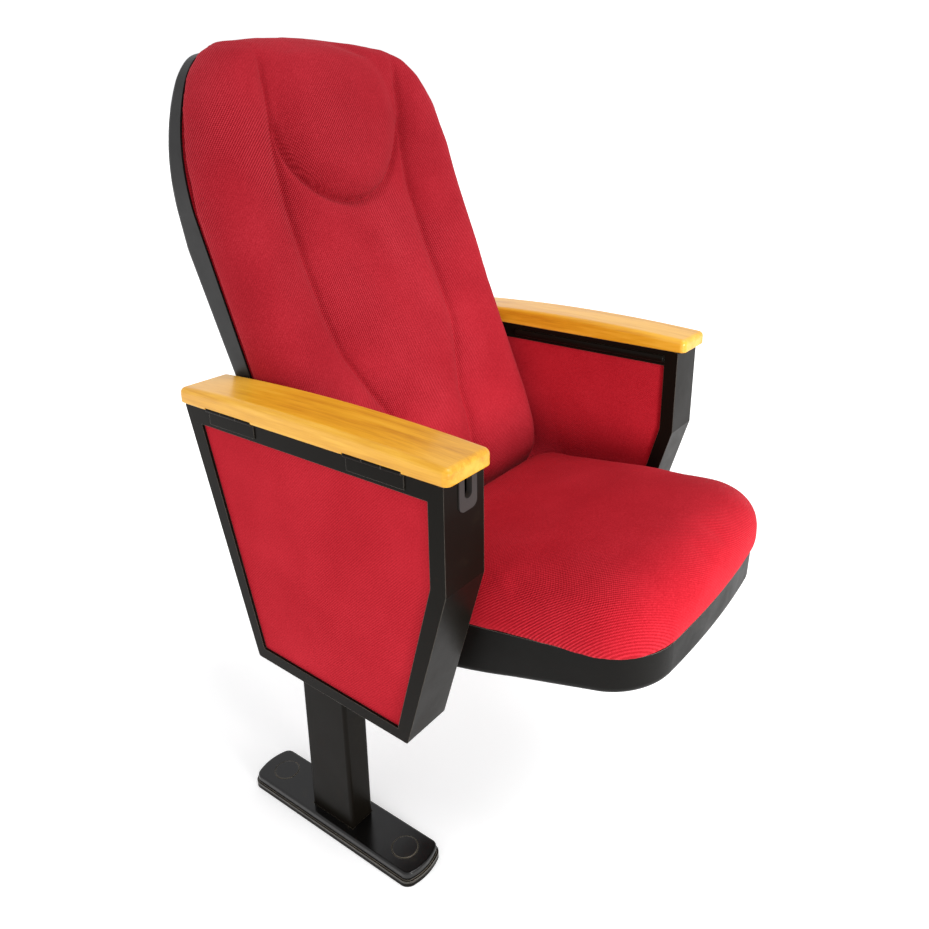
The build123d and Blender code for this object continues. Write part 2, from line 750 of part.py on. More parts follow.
def pan_screws():
    """Screws from under the pan, through its bosses, into the seat board."""
    screws = []
    for x, y in screw_spots():
        low = pan_floor(y)
        shank = Pos(x, y, low) * Cylinder(
            pan_screw_radius, -seat_board_thick + 8 - low, align=(Align.CENTER, Align.CENTER, Align.MIN))
        head = Pos(x, y, low - 1.2) * Cylinder(4.2, 2.4, align=(Align.CENTER, Align.CENTER, Align.MAX))
        screws.append((shank + head + Pos(x, y, low - 0.7) * Cylinder(pan_screw_radius, 1.6)).solids()[0])
    return seat_frame * Compound(children=screws)


def seat_board():
    """Plywood that closes the pan and carries cushion and hinge arms."""
    board = pan_body(pan_wall + small_gap) & block(-400, 400, -600, 200, -seat_board_thick, 0)
    for x, y in screw_spots():
        board -= Pos(x, y, -seat_board_thick) * Cylinder(pan_screw_radius + bolt_clear, 2 * 8.2)
    return seat_frame * board


def seat_cushion():
    """Crowned, upholstered foam pad that swells a little over the pan's rim."""
    levels = (
        (0.0, -1.5), (0.08, 0.5 * seat_puff), (0.20, 0.9 * seat_puff), (0.36, seat_puff),
        (0.52, 0.55 * seat_puff), (0.66, -2.5), (0.77, -11.0), (0.85, -22.0), (0.91, -36.0),
        (0.96, -56.0), (0.99, -86.0), (1.0, -112.0),
    )
    middle = (seat_nose + seat_rear) / 2
    rings = []
    for share, grow in levels:
        slope = seat_top_rake * share
        plane = Plane(origin=(0, middle, seat_crown * share), x_dir=(1, 0, 0), z_dir=(0, slope, 1))
        side_room = min(grow, 2.0) if grow > 0 else grow
        rings.append(plane * Pos(0, -middle) * cushion_ring(grow, side_room))
    return seat_frame * loft(rings, ruled=True)


def cushion_ring(grow, side_room):
    """Seat outline grown forward by one amount and sideways by another."""
    nose = seat_nose - grow
    rear = seat_rear - 2.0 + seat_rear_roll * min(grow, 0.0)
    half_r = seat_half_rear + side_room
    half_n = seat_nose_half + (grow if grow < 0 else grow * 0.8)
    shoulder = nose + seat_nose_bow
    edges = [
        Line((half_n, shoulder), (half_r, rear)),
        Line((half_r, rear), (-half_r, rear)),
        Line((-half_r, rear), (-half_n, shoulder)),
        ThreePointArc((-half_n, shoulder), (0, nose), (half_n, shoulder)),
    ]
    face = make_face(edges)
    face = fillet(face.vertices().group_by(Axis.Y)[0], max(seat_corner + grow * 0.45, 25.0))
    return fillet(face.vertices().group_by(Axis.Y)[-1], max(seat_rear_corner + 6 - grow * 0.45, 15.0))


# ---------------------------------------------------------------- tip-up pivot
def at_pivot(face, x_from, x_to):
    """Stretch a face drawn round the pivot along X, on the seat's own axes."""
    return side_prism(Pos(pivot_y, pivot_w) * face, x_from, x_to)


def hinge_arm():
    """Steel arm under the seat board: web with an eye, top flange and two stop lugs."""
    top = -seat_board_thick
    under = top - hinge_flange_thick
    x_out = hinge_arm_x + hinge_arm_thick
    web = polygon(
        (hinge_arm_front, under), (hinge_arm_front, under - 16),
        (pivot_y - 10, pivot_w - hinge_eye_radius + 2), (pivot_y + 30, pivot_w - 18), (hinge_arm_rear, under))
    web += Pos(pivot_y, pivot_w) * Circle(hinge_eye_radius)
    web &= Pos(0, under - 100) * Rectangle(800, 200)
    arm = side_prism(web, hinge_arm_x, x_out)
    arm += block(x_out - hinge_flange_width, x_out, hinge_arm_front, hinge_arm_rear, under, top)
    arm += block(x_out, x_out + 9, pivot_y - 50, pivot_y + 20, under, top)
    for angle in stop_lug_angles():
        lug = sector(stop_hub_radius + 2, stop_reach, angle, stop_lug_half)
        arm += at_pivot(lug, hinge_arm_x - 12, hinge_arm_x)
    return seat_frame * (arm - at_pivot(Circle(bush_radius()), hinge_arm_x - 20, x_out + 20))


def stop_lug_angles():
    """Lug places that let the seat turn from its rest to its tipped position."""
    reach = stop_tooth_half + stop_lug_half + stop_play
    return (stop_tooth_angle - reach, stop_tooth_angle + reach + tip_angle)


def bush_radius():
    return pivot_pin_radius + running_gap + bush_wall


def pivot_bush():
    """Flanged nylon bush in the hinge arm's eye."""
    x_out = hinge_arm_x + hinge_arm_thick
    bush = at_pivot(Circle(bush_radius()), hinge_arm_x, x_out)
    bush += at_pivot(Circle(bush_radius() + 2.5), x_out, x_out + 2)
    return seat_frame * (bush - at_pivot(Circle(pivot_pin_radius + running_gap), hinge_arm_x - 9, x_out + 9))


def pivot_pin():
    """Steel pin from the spine plate into the seat, with a flange for the spring."""
    pin = rod_x(pivot_pin_radius, pin_inner_end, spine_out, pivot_world.Y, pivot_world.Z)
    flange = rod_x(spring_radius + 3, spring_end() + spring_wire, spring_end() + spring_wire + 3,
                   pivot_world.Y, pivot_world.Z)
    return pin + flange


def stop_collar():
    """Collar keyed to the pin's end, whose tooth stops the hinge arm both ways."""
    collar = at_pivot(Circle(stop_hub_radius), pin_inner_end, pin_inner_end + 11)
    tooth = sector(stop_hub_radius - 3, stop_reach, stop_tooth_angle, stop_tooth_half)
    collar += at_pivot(tooth, pin_inner_end + 2, pin_inner_end + 11)
    return seat_frame * (collar - at_pivot(Circle(pivot_pin_radius), pin_inner_end - 5, hinge_arm_x))


def spring_start():
    """X of the spring's leg, just clear of the bush's flange."""
    return hinge_arm_x + hinge_arm_thick + 2 + spring_wire + 2 * small_gap


def spring_end():
    return spring_start() + spring_turns * spring_pitch


def return_spring():
    """Torsion spring round the pin: one leg lies under the hinge arm's flange."""
    def on_coil(turn):
        angle = radians(90 - 360 * turn)
        x = spring_start() + spring_pitch * turn
        return (x, pivot_y + spring_radius * cos(angle), pivot_w + spring_radius * sin(angle))

    path = [Line((spring_start(), pivot_y - spring_leg, pivot_w + spring_radius), on_coil(0))]
    quarters = 4 * spring_turns
    for step in range(quarters):
        path.append(ThreePointArc(
            on_coil(step / 4), on_coil((step + 0.5) / 4), on_coil((step + 1) / 4)))
    wire = Wire(path)
    section = Plane(origin=wire @ 0, z_dir=wire % 0) * RegularPolygon(spring_wire, 8)
    return seat_frame * sweep(section, path=wire)


def bracket_screw_points():
    """Screws of the pivot bracket, round the pin."""
    return [
        (pivot_world.Y + bracket_screw_circle * cos(radians(turn)),
         pivot_world.Z + bracket_screw_circle * sin(radians(turn)))
        for turn in (90, 210, 330)
    ]


def seat_bracket():
    """Round steel bracket on the inner panel that carries the pivot pin."""
    y, z = pivot_world.Y, pivot_world.Z
    bracket = rod_x(bracket_radius, bracket_face, panel_in, y, z)
    bracket = chamfer(bracket.edges().group_by(Axis.X)[0], 1.5)
    bracket += rod_x(bracket_hub, bracket_face - bracket_hub_rise, bracket_face, y, z)
    bracket -= rod_x(pivot_pin_radius, bracket_face - 20, panel_in + 5, y, z)
    for py, pz in bracket_screw_points():
        bracket -= screw_shape(py, pz, bolt_clear)
    return bracket


def screw_shape(y, z, grow=0.0):
    """Countersunk screw from the bracket's face to the spine plate."""
    shank = rod_x(bracket_screw_radius + grow, bracket_face, spine_out, y, z)
    cone = Cone(bracket_screw_radius + 3.2 + grow, bracket_screw_radius + grow, 3.2,
                align=(Align.CENTER, Align.CENTER, Align.MIN))
    return shank + Plane.YZ.offset(bracket_face) * Pos(y, z) * cone


def bracket_screws():
    return Compound(children=[screw_shape(y, z).solids()[0] for y, z in bracket_screw_points()])


# ---------------------------------------------------------------- back
def seam_line():
    """Side view of the line where cushion and shell meet, from the bottom up."""
    return ((back_seam_y, back_bottom), (back_bend_y, back_bend_z), (back_top_y, back_top))


def shell_seam_line():
    """The part of the seam line that the shell reaches."""
    return ((back_seam_y, back_bottom), (back_bend_y, back_bend_z), (seam_at(shell_top), shell_top))


def seam_at(z):
    """Y of the seam line at a height."""
    return blend(z, [(height, y) for y, height in seam_line()])


def stretched(points, reach):
    """A side-view line carried on straight past both of its ends by a height."""
    line = list(points)
    for end, near in ((0, 1), (-1, -2)):
        (y0, z0), (y1, z1) = line[end], line[near]
        step = reach if z0 > z1 else -reach
        line[end] = (y0 + (y0 - y1) / (z0 - z1) * step, z0 + step)
    return line


def shell_rear_line():
    """Side view of the shell's rear face, from the bottom up."""
    return (
        (back_seam_y + shell_depth_bottom, back_bottom),
        (seam_at(shell_bend_z) + shell_depth_bend, shell_bend_z),
        (seam_at(shell_top) + shell_depth_top, shell_top),
    )


def back_outline(inset=0.0):
    """Front view of the back: straight sides, round shoulders, bowed top."""
    half_top = back_half_low + back_flare
    side = Line((back_half_low, back_bottom), (half_top, back_shoulder_z))
    shoulder = JernArc(side @ 1, (0, 1), back_shoulder_radius, back_shoulder_turn)
    corner = JernArc(shoulder @ 1, shoulder % 1, back_crown_radius, back_crown_turn)
    end = corner @ 1
    top = ThreePointArc(end, (0, back_top), (-end.X, end.Y))
    half = [side, shoulder, corner]
    other = [mirror(edge, about=Plane.YZ) for edge in half]
    bottom = Line((-back_half_low, back_bottom), (back_half_low, back_bottom))
    face = make_face([*half, top, *other, bottom])
    face = fillet(face.vertices().group_by(Axis.Y)[0], back_foot_corner)
    return offset(face, -inset) if inset else face


def shell_outline(inset=0.0):
    """Front view of the shell: the back's outline, cut lower at the top."""
    face = back_outline() & (Pos(0, shell_top - 500) * Rectangle(900, 1000))
    face = fillet(face.vertices().group_by(Axis.Y)[-1], shell_corner)
    return offset(face, -inset) if inset else face


def back_profile(front_inset, rear_inset, reach=0.0):
    """Side view of the space between seam line and rear face, inset at both."""
    rear = stretched([(y - rear_inset, z) for y, z in shell_rear_line()], reach)
    front = stretched([(y + front_inset, z) for y, z in shell_seam_line()], reach)
    face = polygon(*rear, *reversed(front))
    bend = [v for v in face.vertices() if abs(v.Y - shell_bend_z) < 1]
    return fillet(bend, 60.0)


def back_shell():
    """Moulded back shell: a shallow tray, open to the front, with bosses for the angles."""
    outer = front_prism(shell_outline(), 0, 500) & side_prism(back_profile(0, 0), -400, 400)
    rear_edges = outer.edges().filter_by(lambda e: on_rear_rim(e))
    outer = fillet(rear_edges, shell_edge)
    hollow = front_prism(shell_outline(shell_wall), 0, 500) & side_prism(
        back_profile(-40, shell_wall, 30), -400, 400)
    shell = outer - hollow
    for place in angle_screw_places():
        depth = angle_screw_length - 8.0
        shell += place * Cylinder(8.0, depth, align=(Align.CENTER, Align.CENTER, Align.MAX))
        shell -= place * Cylinder(angle_bolt_radius + bolt_clear, 2 * angle_screw_length + 4)
    return shell


def on_rear_rim(edge):
    """True for edges where the shell's side meets its rear face."""
    centre = edge.center()
    rear = blend(centre.Z, [(z, y) for y, z in shell_rear_line()])
    ends = [v for v in edge.vertices()]
    near = all(abs(v.Y - blend(v.Z, [(z, y) for y, z in shell_rear_line()])) < 4.5 for v in ends)
    wide = abs(centre.X) > 30 or edge.bounding_box().size.X > 60
    flat = edge.bounding_box().size.X > 60 and abs(centre.X) < 1 and back_bottom + 9 < centre.Z < shell_top - 20
    return near and wide and not flat and abs(centre.Y - rear) < 6


def back_board():
    """Plywood inside the shell that the cushion is stapled to."""
    strip = back_profile(0, 0, 30) & back_board_strip()
    board = front_prism(shell_outline(shell_wall + small_gap), 0, 500) & side_prism(strip, -400, 400)
    for place in angle_screw_places():
        board -= place * Cylinder(angle_bolt_radius + bolt_clear, 2 * angle_screw_length + 4)
    return board


def back_board_strip():
    """Side view of the board, behind the seam line."""
    front = stretched(shell_seam_line(), 40.0)
    rear = [(y + back_board_thick, z) for y, z in front]
    return polygon(*front, *reversed(rear))


# cushion depth in front of the seam line: at the centre, at the channels and at the side bolsters
centre_depth = ((352, 46), (375, 50), (400, 58), (450, 72), (500, 76), (560, 72), (620, 66), (686, 58), (750, 52),
                (910, 52), (980, 58), (1066, 59))
channel_depth = ((352, 42), (375, 46), (400, 53), (450, 64), (500, 67), (560, 62), (620, 55), (686, 47), (750, 41),
                 (910, 41), (980, 46), (1066, 49))
bolster_depth = ((352, 44), (380, 52), (400, 62), (440, 78), (500, 80), (560, 76), (620, 72), (700, 68), (800, 66),
                 (900, 61), (980, 56), (1066, 53))
channel_half = ((352, 36), (400, 42), (492, 58), (554, 86), (615, 118), (686, 130), (910, 130), (980, 134),
                (1066, 142))
cushion_levels = (353, 357, 364, 374, 388, 405, 425, 450, 500, 560, 620, 690, 760, 840, 910, 970, 1012, 1036, 1050,
                  1059, 1065)
cushion_roll_low = 60.0       # the pad rolls under at its lower end over this height
cushion_roll_top = 44.0       # and over its top edge
channel_radius = 5.0
bolster_round = 34.0          # from the pad's side to the crest of the bolster
pad_swell = 2.0               # how far the pad's side swells past the seam
headrest_low = 839.0          # lowest point of the headrest's curved channel
headrest_join = 948.0         # where it runs into the side channels


def half_width_at(z, outline):
    """Half width of the back's front view at a height."""
    strip = outline & (Pos(0, z) * Rectangle(900, 0.02))
    return strip.bounding_box().max.X - back_seam_inset


def roll(z):
    """How much of the full depth is left near the pad's lower and upper end."""
    low = min(1.0, max(0.0, (z - back_bottom) / cushion_roll_low))
    high = min(1.0, max(0.0, (back_top - z) / cushion_roll_top))
    return sqrt(1 - (1 - low) ** 2) * sqrt(1 - (1 - high) ** 2)


def cushion_section(z, outline):
    """One level slice of the back cushion: bolsters, two valleys and the centre panel."""
    seam, left = seam_at(z), roll(z)
    half = half_width_at(z, outline)
    crest = half - min(bolster_round, 0.3 * half)
    valley = min(blend(z, channel_half), 0.62 * crest)
    bolster_y = seam - blend(z, bolster_depth) * left
    valley_y = seam - blend(z, channel_depth) * left
    centre_y = seam - blend(z, centre_depth) * left
    swell_y = seam - 0.5 * (seam - bolster_y)
    swell = pad_swell * left
    mid_x = (crest + valley) / 2
    mid_y = (bolster_y + valley_y) / 2 - 4.0 * left
    edges = [
        Line((-half, seam, z), (half, seam, z)),
        ThreePointArc((half, seam, z), (half + swell, swell_y, z), (crest, bolster_y, z)),
        ThreePointArc((crest, bolster_y, z), (mid_x, mid_y, z), (valley, valley_y, z)),
        ThreePointArc((valley, valley_y, z), (0, centre_y, z), (-valley, valley_y, z)),
        ThreePointArc((-valley, valley_y, z), (-mid_x, mid_y, z), (-crest, bolster_y, z)),
        ThreePointArc((-crest, bolster_y, z), (-half - swell, swell_y, z), (-half, seam, z)),
    ]
    return make_face(edges)


def back_cushion():
    """Upholstered foam back with two sewn channels and a curved one under the headrest."""
    outline = back_outline()
    pad = loft([cushion_section(z, outline) for z in cushion_levels], ruled=True)
    join_x = blend(headrest_join, channel_half)
    join_y = seam_at(headrest_join) - blend(headrest_join, channel_depth)
    low_y = seam_at(headrest_low) - blend(headrest_low, centre_depth)
    curve = ThreePointArc((-join_x, join_y, headrest_join), (0, low_y, headrest_low), (join_x, join_y, headrest_join))
    groove = sweep(Plane(origin=curve @ 0, z_dir=curve % 0) * Circle(channel_radius), path=curve)
    return pad - groove


# ---------------------------------------------------------------- angles that hold the back
rear_lean = atan2(
    shell_rear_line()[1][0] - shell_rear_line()[0][0], shell_rear_line()[1][1] - shell_rear_line()[0][1])
rear_plane = Plane(
    origin=(0, shell_rear_line()[0][0], back_bottom), x_dir=(1, 0, 0), z_dir=(0, sin(rear_lean), cos(rear_lean)))


def on_rear(along, out):
    """World Y and Z of a point up the shell's rear face and out from it."""
    spot = rear_plane.from_local_coords(Vector(0, out, along))
    return spot.Y, spot.Z


def angle_bolt_points():
    """Bolts from each angle into the rear border of the arm box, along its middle."""
    lean = (arm_rear_top - arm_heel_y) / (arm_top - arm_heel_z)
    points = []
    for along in angle_bolt_at:
        y, z = on_rear(along, 0)
        out = (arm_rear_at(z) - border_rear / 2 - y) / (cos(rear_lean) + lean * sin(rear_lean))
        points.append(on_rear(along, out))
    return points


def angle_screw_places():
    """Places of the screws from each angle into the back, both sides, Z pointing outward."""
    places = []
    for side in (-1, 1):
        for along in angle_bolt_at:
            spot = rear_plane.from_local_coords(Vector(side * (inner_face - angle_screw_inset), 0, along))
            places.append(Plane(origin=spot, x_dir=(1, 0, 0), z_dir=rear_plane.y_dir).location)
    return places


def back_angle():
    """Bent steel angle between the back shell and the arm box."""
    face = polygon(
        (inner_face - angle_leg_back, 0), (inner_face, 0), (inner_face, angle_leg_arm),
        (inner_face - angle_thick, angle_leg_arm), (inner_face - angle_thick, angle_thick),
        (inner_face - angle_leg_back, angle_thick))
    bend = [v for v in face.vertices() if abs(v.X - inner_face + angle_thick) < 0.1 and v.Y < angle_thick + 1]
    face = fillet(bend, 3.0)
    angle = extrude(rear_plane * Pos(0, 0, angle_from) * face, amount=angle_to - angle_from)
    edge = [(arm_rear_at(z) - 4, z) for z in (arm_heel_z, arm_top)]
    angle -= side_prism(polygon(*edge, (500, arm_top), (500, arm_heel_z)), inner_face - 50, inner_face + 1)
    for y, z in angle_bolt_points():
        angle -= rod_x(angle_bolt_radius + bolt_clear, inner_face - 20, inner_face + 5, y, z)
    for place in angle_screw_places():
        angle -= place * Cylinder(angle_bolt_radius + bolt_clear, 4 * angle_thick)
    return angle


def angle_bolts():
    """Bolts into the arm box and screws into the back, one side."""
    group = []
    for y, z in angle_bolt_points():
        head_x = inner_face - angle_thick
        bolt = rod_x(angle_bolt_radius, head_x, spine_out, y, z)
        head = rod_x(bolt_head_radius, head_x - bolt_head_rise, head_x, y, z)
        bolt += chamfer(head.edges().group_by(Axis.X)[0], 1.2)
        group.append(bolt.solids()[0])
    for place in angle_screw_places()[2:]:
        head = Cylinder(bolt_head_radius, bolt_head_rise, align=(Align.CENTER, Align.CENTER, Align.MIN))
        head = Pos(0, 0, angle_thick) * chamfer(head.edges().group_by(Axis.Z)[-1], 1.2)
        shank = Pos(0, 0, angle_thick) * Cylinder(
            angle_bolt_radius, angle_screw_length + angle_thick, align=(Align.CENTER, Align.CENTER, Align.MAX))
        group.append((place * (head + shank)).solids()[0])
    return Compound(children=group)


# ---------------------------------------------------------------- all nodes
def paired_nodes():
    """Pieces that both standards have."""
    return {
        "base_plate": base_plate(), "foot_cover": foot_cover(), "foot_caps": foot_caps(), "post": post(),
        "inner_panel_cover": inner_panel_cover(), "inner_panel_board": inner_panel_board(),
        "outer_panel_cover": outer_panel_cover(), "outer_panel_board": outer_panel_board(),
        "spine_plate": spine_plate(), "top_rail": top_rail(), "seat_bracket": seat_bracket(),
        "pivot_pin": pivot_pin(), "stop_collar": stop_collar(),
        "return_spring": return_spring(), "hinge_arm": hinge_arm(), "pivot_bush": pivot_bush(),
        "back_angle": back_angle(),
    }


def right_nodes():
    """Pieces of the sitter's right arm only, drawn on +X and mirrored."""
    return {
        "arm_frame_right": arm_frame(True), "slot_liner": slot_liner(), "armrest_lid": armrest_lid(),
        "lid_buffers": lid_buffers(), "lid_hinge_frame_leaves": hinge_group(hinge_frame_leaf),
        "lid_hinge_lid_leaves": hinge_group(hinge_lid_leaf), "lid_hinge_pins": hinge_group(hinge_pin),
        "tablet_board": tablet_board(), "tablet_bar": tablet_bar(), "tablet_flip_leaf": tablet_flip_leaf(),
        "tablet_bracket": tablet_bracket(), "tablet_pin": tablet_pin(), "tablet_rest": tablet_rest(),
    }


def single_nodes():
    """Pieces that stand once, on the middle or on the left."""
    return {
        "arm_frame_left": arm_frame(False), "armrest_left": armrest_fixed(),
        "armrest_left_screws": armrest_screws(),
        "seat_pan": seat_pan(), "seat_board": seat_board(), "seat_cushion": seat_cushion(),
        "pan_screws": pan_screws(), "back_shell": back_shell(), "back_board": back_board(),
        "back_cushion": back_cushion(), "seat_bracket_screws": both_sides(bracket_screws()),
        "back_angle_bolts": both_sides(angle_bolts()),
    }


def mirrored(shape):
    return Compound(children=list(mirror(shape, about=Plane.YZ).solids()))


def all_nodes():
    nodes = dict(single_nodes())
    for name, shape in paired_nodes().items():
        nodes[name + "_left"] = shape
        nodes[name + "_right"] = mirrored(shape)
    for name, shape in right_nodes().items():
        nodes[name] = mirrored(shape)
    return nodes


os.makedirs("parts", exist_ok=True)
for node_name, node_shape in all_nodes().items():
    export_step(node_shape, f"parts/{node_name}.step")
print("least gap between spring turns:", round(spring_pitch - 2 * spring_wire, 2), "mm")
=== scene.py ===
# %% [markdown]
# # A tip-up auditorium seat
# One seat of a lecture hall, on two pedestal standards: an upholstered back, a seat that tips up,
# boxed steel arms with fabric panels and wooden tops. The steel, the mouldings and the wood come
# measured and finished in shape, as a fixed frame. This lesson dresses them: it gives every surface
# the finish of its real material, and makes the soft pieces anew, because cloth and foam need forms
# that a measured solid doesn't have. We start with the frame.

# %% Load the measured frame
import json
from math import exp, pi, radians

import bmesh
import bpy
from mathutils import Matrix, Vector


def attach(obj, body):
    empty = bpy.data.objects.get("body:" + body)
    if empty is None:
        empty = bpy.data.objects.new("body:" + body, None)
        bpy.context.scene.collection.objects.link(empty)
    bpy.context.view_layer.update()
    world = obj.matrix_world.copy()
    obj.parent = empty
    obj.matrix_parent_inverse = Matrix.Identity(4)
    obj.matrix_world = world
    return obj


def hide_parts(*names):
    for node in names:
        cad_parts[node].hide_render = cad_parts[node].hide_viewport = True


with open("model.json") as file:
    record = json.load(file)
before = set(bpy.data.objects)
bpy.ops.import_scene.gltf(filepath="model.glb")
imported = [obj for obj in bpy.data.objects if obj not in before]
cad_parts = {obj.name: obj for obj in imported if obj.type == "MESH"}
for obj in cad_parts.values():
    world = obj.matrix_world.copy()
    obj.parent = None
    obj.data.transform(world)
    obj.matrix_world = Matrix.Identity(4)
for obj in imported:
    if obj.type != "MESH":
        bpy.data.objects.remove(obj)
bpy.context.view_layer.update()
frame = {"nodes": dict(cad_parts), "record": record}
nodes = frame["nodes"]
scene = bpy.context.scene

# %% [markdown]
# ## Camera
# The photograph was taken from the sitter's right, a little above the armrests. The camera could be
# placed by eye, but then no edge would lie where it should, so its place and turn were worked out
# from the straight edges of arms and posts. A small shift keeps the verticals as they are in the
# photograph, where the seat doesn't lie in the middle of the lens's view.

# %% Camera
PHOTO_SIDE = 929                       # pixels, the photograph is square
FOCAL_PIXELS = 832.06
LENS_CENTRE = (489.9, 396.1)           # pixel that the lens looks at
CAMERA_PLACE = (-0.9199, -0.7201, 0.9796)
CAMERA_TURN, CAMERA_TILT, CAMERA_ROLL = -54.08, -19.6, -0.15     # degrees


def place_camera():
    lens = bpy.data.cameras.new("camera")
    lens.sensor_width = 36.0
    lens.lens = FOCAL_PIXELS / PHOTO_SIDE * lens.sensor_width
    lens.shift_x = -(LENS_CENTRE[0] - PHOTO_SIDE / 2) / PHOTO_SIDE
    lens.shift_y = (LENS_CENTRE[1] - PHOTO_SIDE / 2) / PHOTO_SIDE
    camera = bpy.data.objects.new("camera", lens)
    turn = Matrix.Rotation(radians(CAMERA_TURN), 4, "Z")
    tilt = Matrix.Rotation(radians(90 + CAMERA_TILT), 4, "X")
    roll = Matrix.Rotation(radians(CAMERA_ROLL), 4, "Z")
    camera.matrix_world = Matrix.Translation(CAMERA_PLACE) @ turn @ tilt @ roll
    scene.collection.objects.link(camera)
    scene.camera = camera
    print("camera lens", round(lens.lens, 2), "mm")


place_camera()

# %% [markdown]
# ## Colours and shader nodes
# A material is a tree of nodes: most of them make a number or a colour for each spot of the surface,
# and the last one shades it. The tree could be drawn in the editor. Here one function adds any node,
# so that a finish reads like a recipe: what goes in, which settings, and which socket comes out.
# Colours are written as the hex values of a paint program, and another function turns them into the
# linear light that shaders reckon with.

# %% Colours and nodes
def srgb(hex_colour):
    """An sRGB colour such as "BE2332" as the linear values that shaders take."""
    channels = [int(hex_colour[i:i + 2], 16) / 255 for i in (0, 2, 4)]
    linear = [c / 12.92 if c <= 0.04045 else ((c + 0.055) / 1.055) ** 2.4 for c in channels]
    return (*linear, 1.0)


def add_node(tree, kind, inputs=None, stops=(), **settings):
    """Adds one shader node. Inputs are values, or sockets of other nodes to link from. The stops of
    a colour ramp are (position, linear colour), two of them or more."""
    node = tree.nodes.new(kind)
    for name, value in settings.items():
        setattr(node, name, value)
    for name, value in (inputs or {}).items():
        if isinstance(value, bpy.types.NodeSocket):
            tree.links.new(value, node.inputs[name])
        else:
            node.inputs[name].default_value = value
    for _ in stops[2:]:                # a new ramp has two stops already
        node.color_ramp.elements.new(0.5)
    for number, (position, colour) in enumerate(stops):
        node.color_ramp.elements[number].position = position
        node.color_ramp.elements[number].color = colour
    return node


def new_material(name):
    material = bpy.data.materials.new(name)
    material.use_nodes = True
    tree = material.node_tree
    return material, tree, tree.nodes["Principled BSDF"]


print("the grey 808080 is", round(srgb("808080")[0], 3), "of full light")

# %% [markdown]
# ## Studio floor
# The photograph has a white ground with no visible corner, as a sheet of paper that curves up behind
# the seat would give. The curve isn't needed: a pale floor that runs to the horizon meets a white
# world there. It is matt, and glows a little, because a studio floor is lit from all sides, which
# lightens the shadow under the seat.

# %% Floor
FLOOR_SIZE = 160.0                     # metres
FLOOR_DROP = 0.0004                    # so that floor and feet don't flicker in one plane
FLOOR_GLOW = 0.34


def build_floor():
    form = bmesh.new()
    bmesh.ops.create_grid(form, x_segments=1, y_segments=1, size=FLOOR_SIZE / 2)
    bmesh.ops.translate(form, verts=form.verts, vec=(0, 0, -FLOOR_DROP))
    mesh = bpy.data.meshes.new("studio_floor")
    form.to_mesh(mesh)
    form.free()
    floor = bpy.data.objects.new("studio_floor", mesh)
    scene.collection.objects.link(floor)
    paint, _, shader = new_material("studio_floor_paint")
    shader.inputs["Base Color"].default_value = srgb("FAFAF9")
    shader.inputs["Roughness"].default_value = 0.85
    shader.inputs["Emission Color"].default_value = srgb("FFFFFF")
    shader.inputs["Emission Strength"].default_value = FLOOR_GLOW
    mesh.materials.append(paint)
    print("floor", FLOOR_SIZE, "m wide")


build_floor()

# %% [markdown]
# ## World
# The world is the light that comes from all round. It could be one even white, but that flattens
# every form and turns black paint grey. So it is white up to a little above the horizon, where the
# camera sees it, and dimmer overhead, where the lamps take over.

# %% World
HORIZON_GLOW, SKY_GLOW = 1.06, 0.80    # brightness near the horizon and overhead
GLOW_TOP, SKY_START = 0.16, 0.55       # sines of the heights where the white ends and the sky is dim


def build_world():
    world = bpy.data.worlds.new("studio_world")
    world.use_nodes = True
    tree = world.node_tree
    way = add_node(tree, "ShaderNodeTexCoord").outputs["Generated"]
    height = add_node(tree, "ShaderNodeSeparateXYZ", {"Vector": way}).outputs["Z"]
    glow = add_node(tree, "ShaderNodeMapRange", {
        "Value": height, "From Min": GLOW_TOP, "From Max": SKY_START,
        "To Min": HORIZON_GLOW, "To Max": SKY_GLOW}, interpolation_type="SMOOTHSTEP")
    backdrop = tree.nodes["Background"]
    backdrop.inputs["Color"].default_value = srgb("FDFDFF")
    tree.links.new(glow.outputs["Result"], backdrop.inputs["Strength"])
    scene.world = world


build_world()
print("the world glows", HORIZON_GLOW, "at the horizon and", SKY_GLOW, "overhead")

# %% [markdown]
# ## Lamps
# Two lamps draw the shape: a broad sun from high in front, and a soft spot from low in front, behind
# the camera and to its right, which brightens the rounded front of the seat as in the photograph.
# Small lamps would do for that, but large ones make the soft shadows and the broad highlights that
# lacquered wood and black paint show in a studio. The Standard view shows colours as they are mixed,
# without the look of film.

# %% Lamps
SEAT_MIDDLE = (0.0, -0.1, 0.5)
SUN_PLACE, SUN_STRENGTH, SUN_WIDTH = (0.7, -1.3, 3.2), 1.3, 38      # metres, W per square metre, degrees
SPOT_PLACE, SPOT_AIM = (-0.6, -1.85, 0.50), (0.04, -0.42, 0.30)
SPOT_WATTS, SPOT_CONE, SPOT_RADIUS = 180, 38, 0.30                  # the cone in degrees


def add_lamp(name, kind, place, aim, strength):
    """A white lamp at a place that shines towards a point."""
    lamp = bpy.data.lights.new(name, kind)
    lamp.energy = strength
    light = bpy.data.objects.new(name, lamp)
    turn = (Vector(aim) - Vector(place)).to_track_quat("-Z", "Y").to_matrix().to_4x4()
    light.matrix_world = Matrix.Translation(place) @ turn
    scene.collection.objects.link(light)
    return lamp


sun = add_lamp("key_sun", "SUN", SUN_PLACE, SEAT_MIDDLE, SUN_STRENGTH)
sun.angle = radians(SUN_WIDTH)
spot = add_lamp("front_spot", "SPOT", SPOT_PLACE, SPOT_AIM, SPOT_WATTS)
spot.spot_size, spot.spot_blend, spot.shadow_soft_size = radians(SPOT_CONE), 1.0, SPOT_RADIUS
scene.view_settings.view_transform = "Standard"
print("lamps:", len(bpy.data.lights))

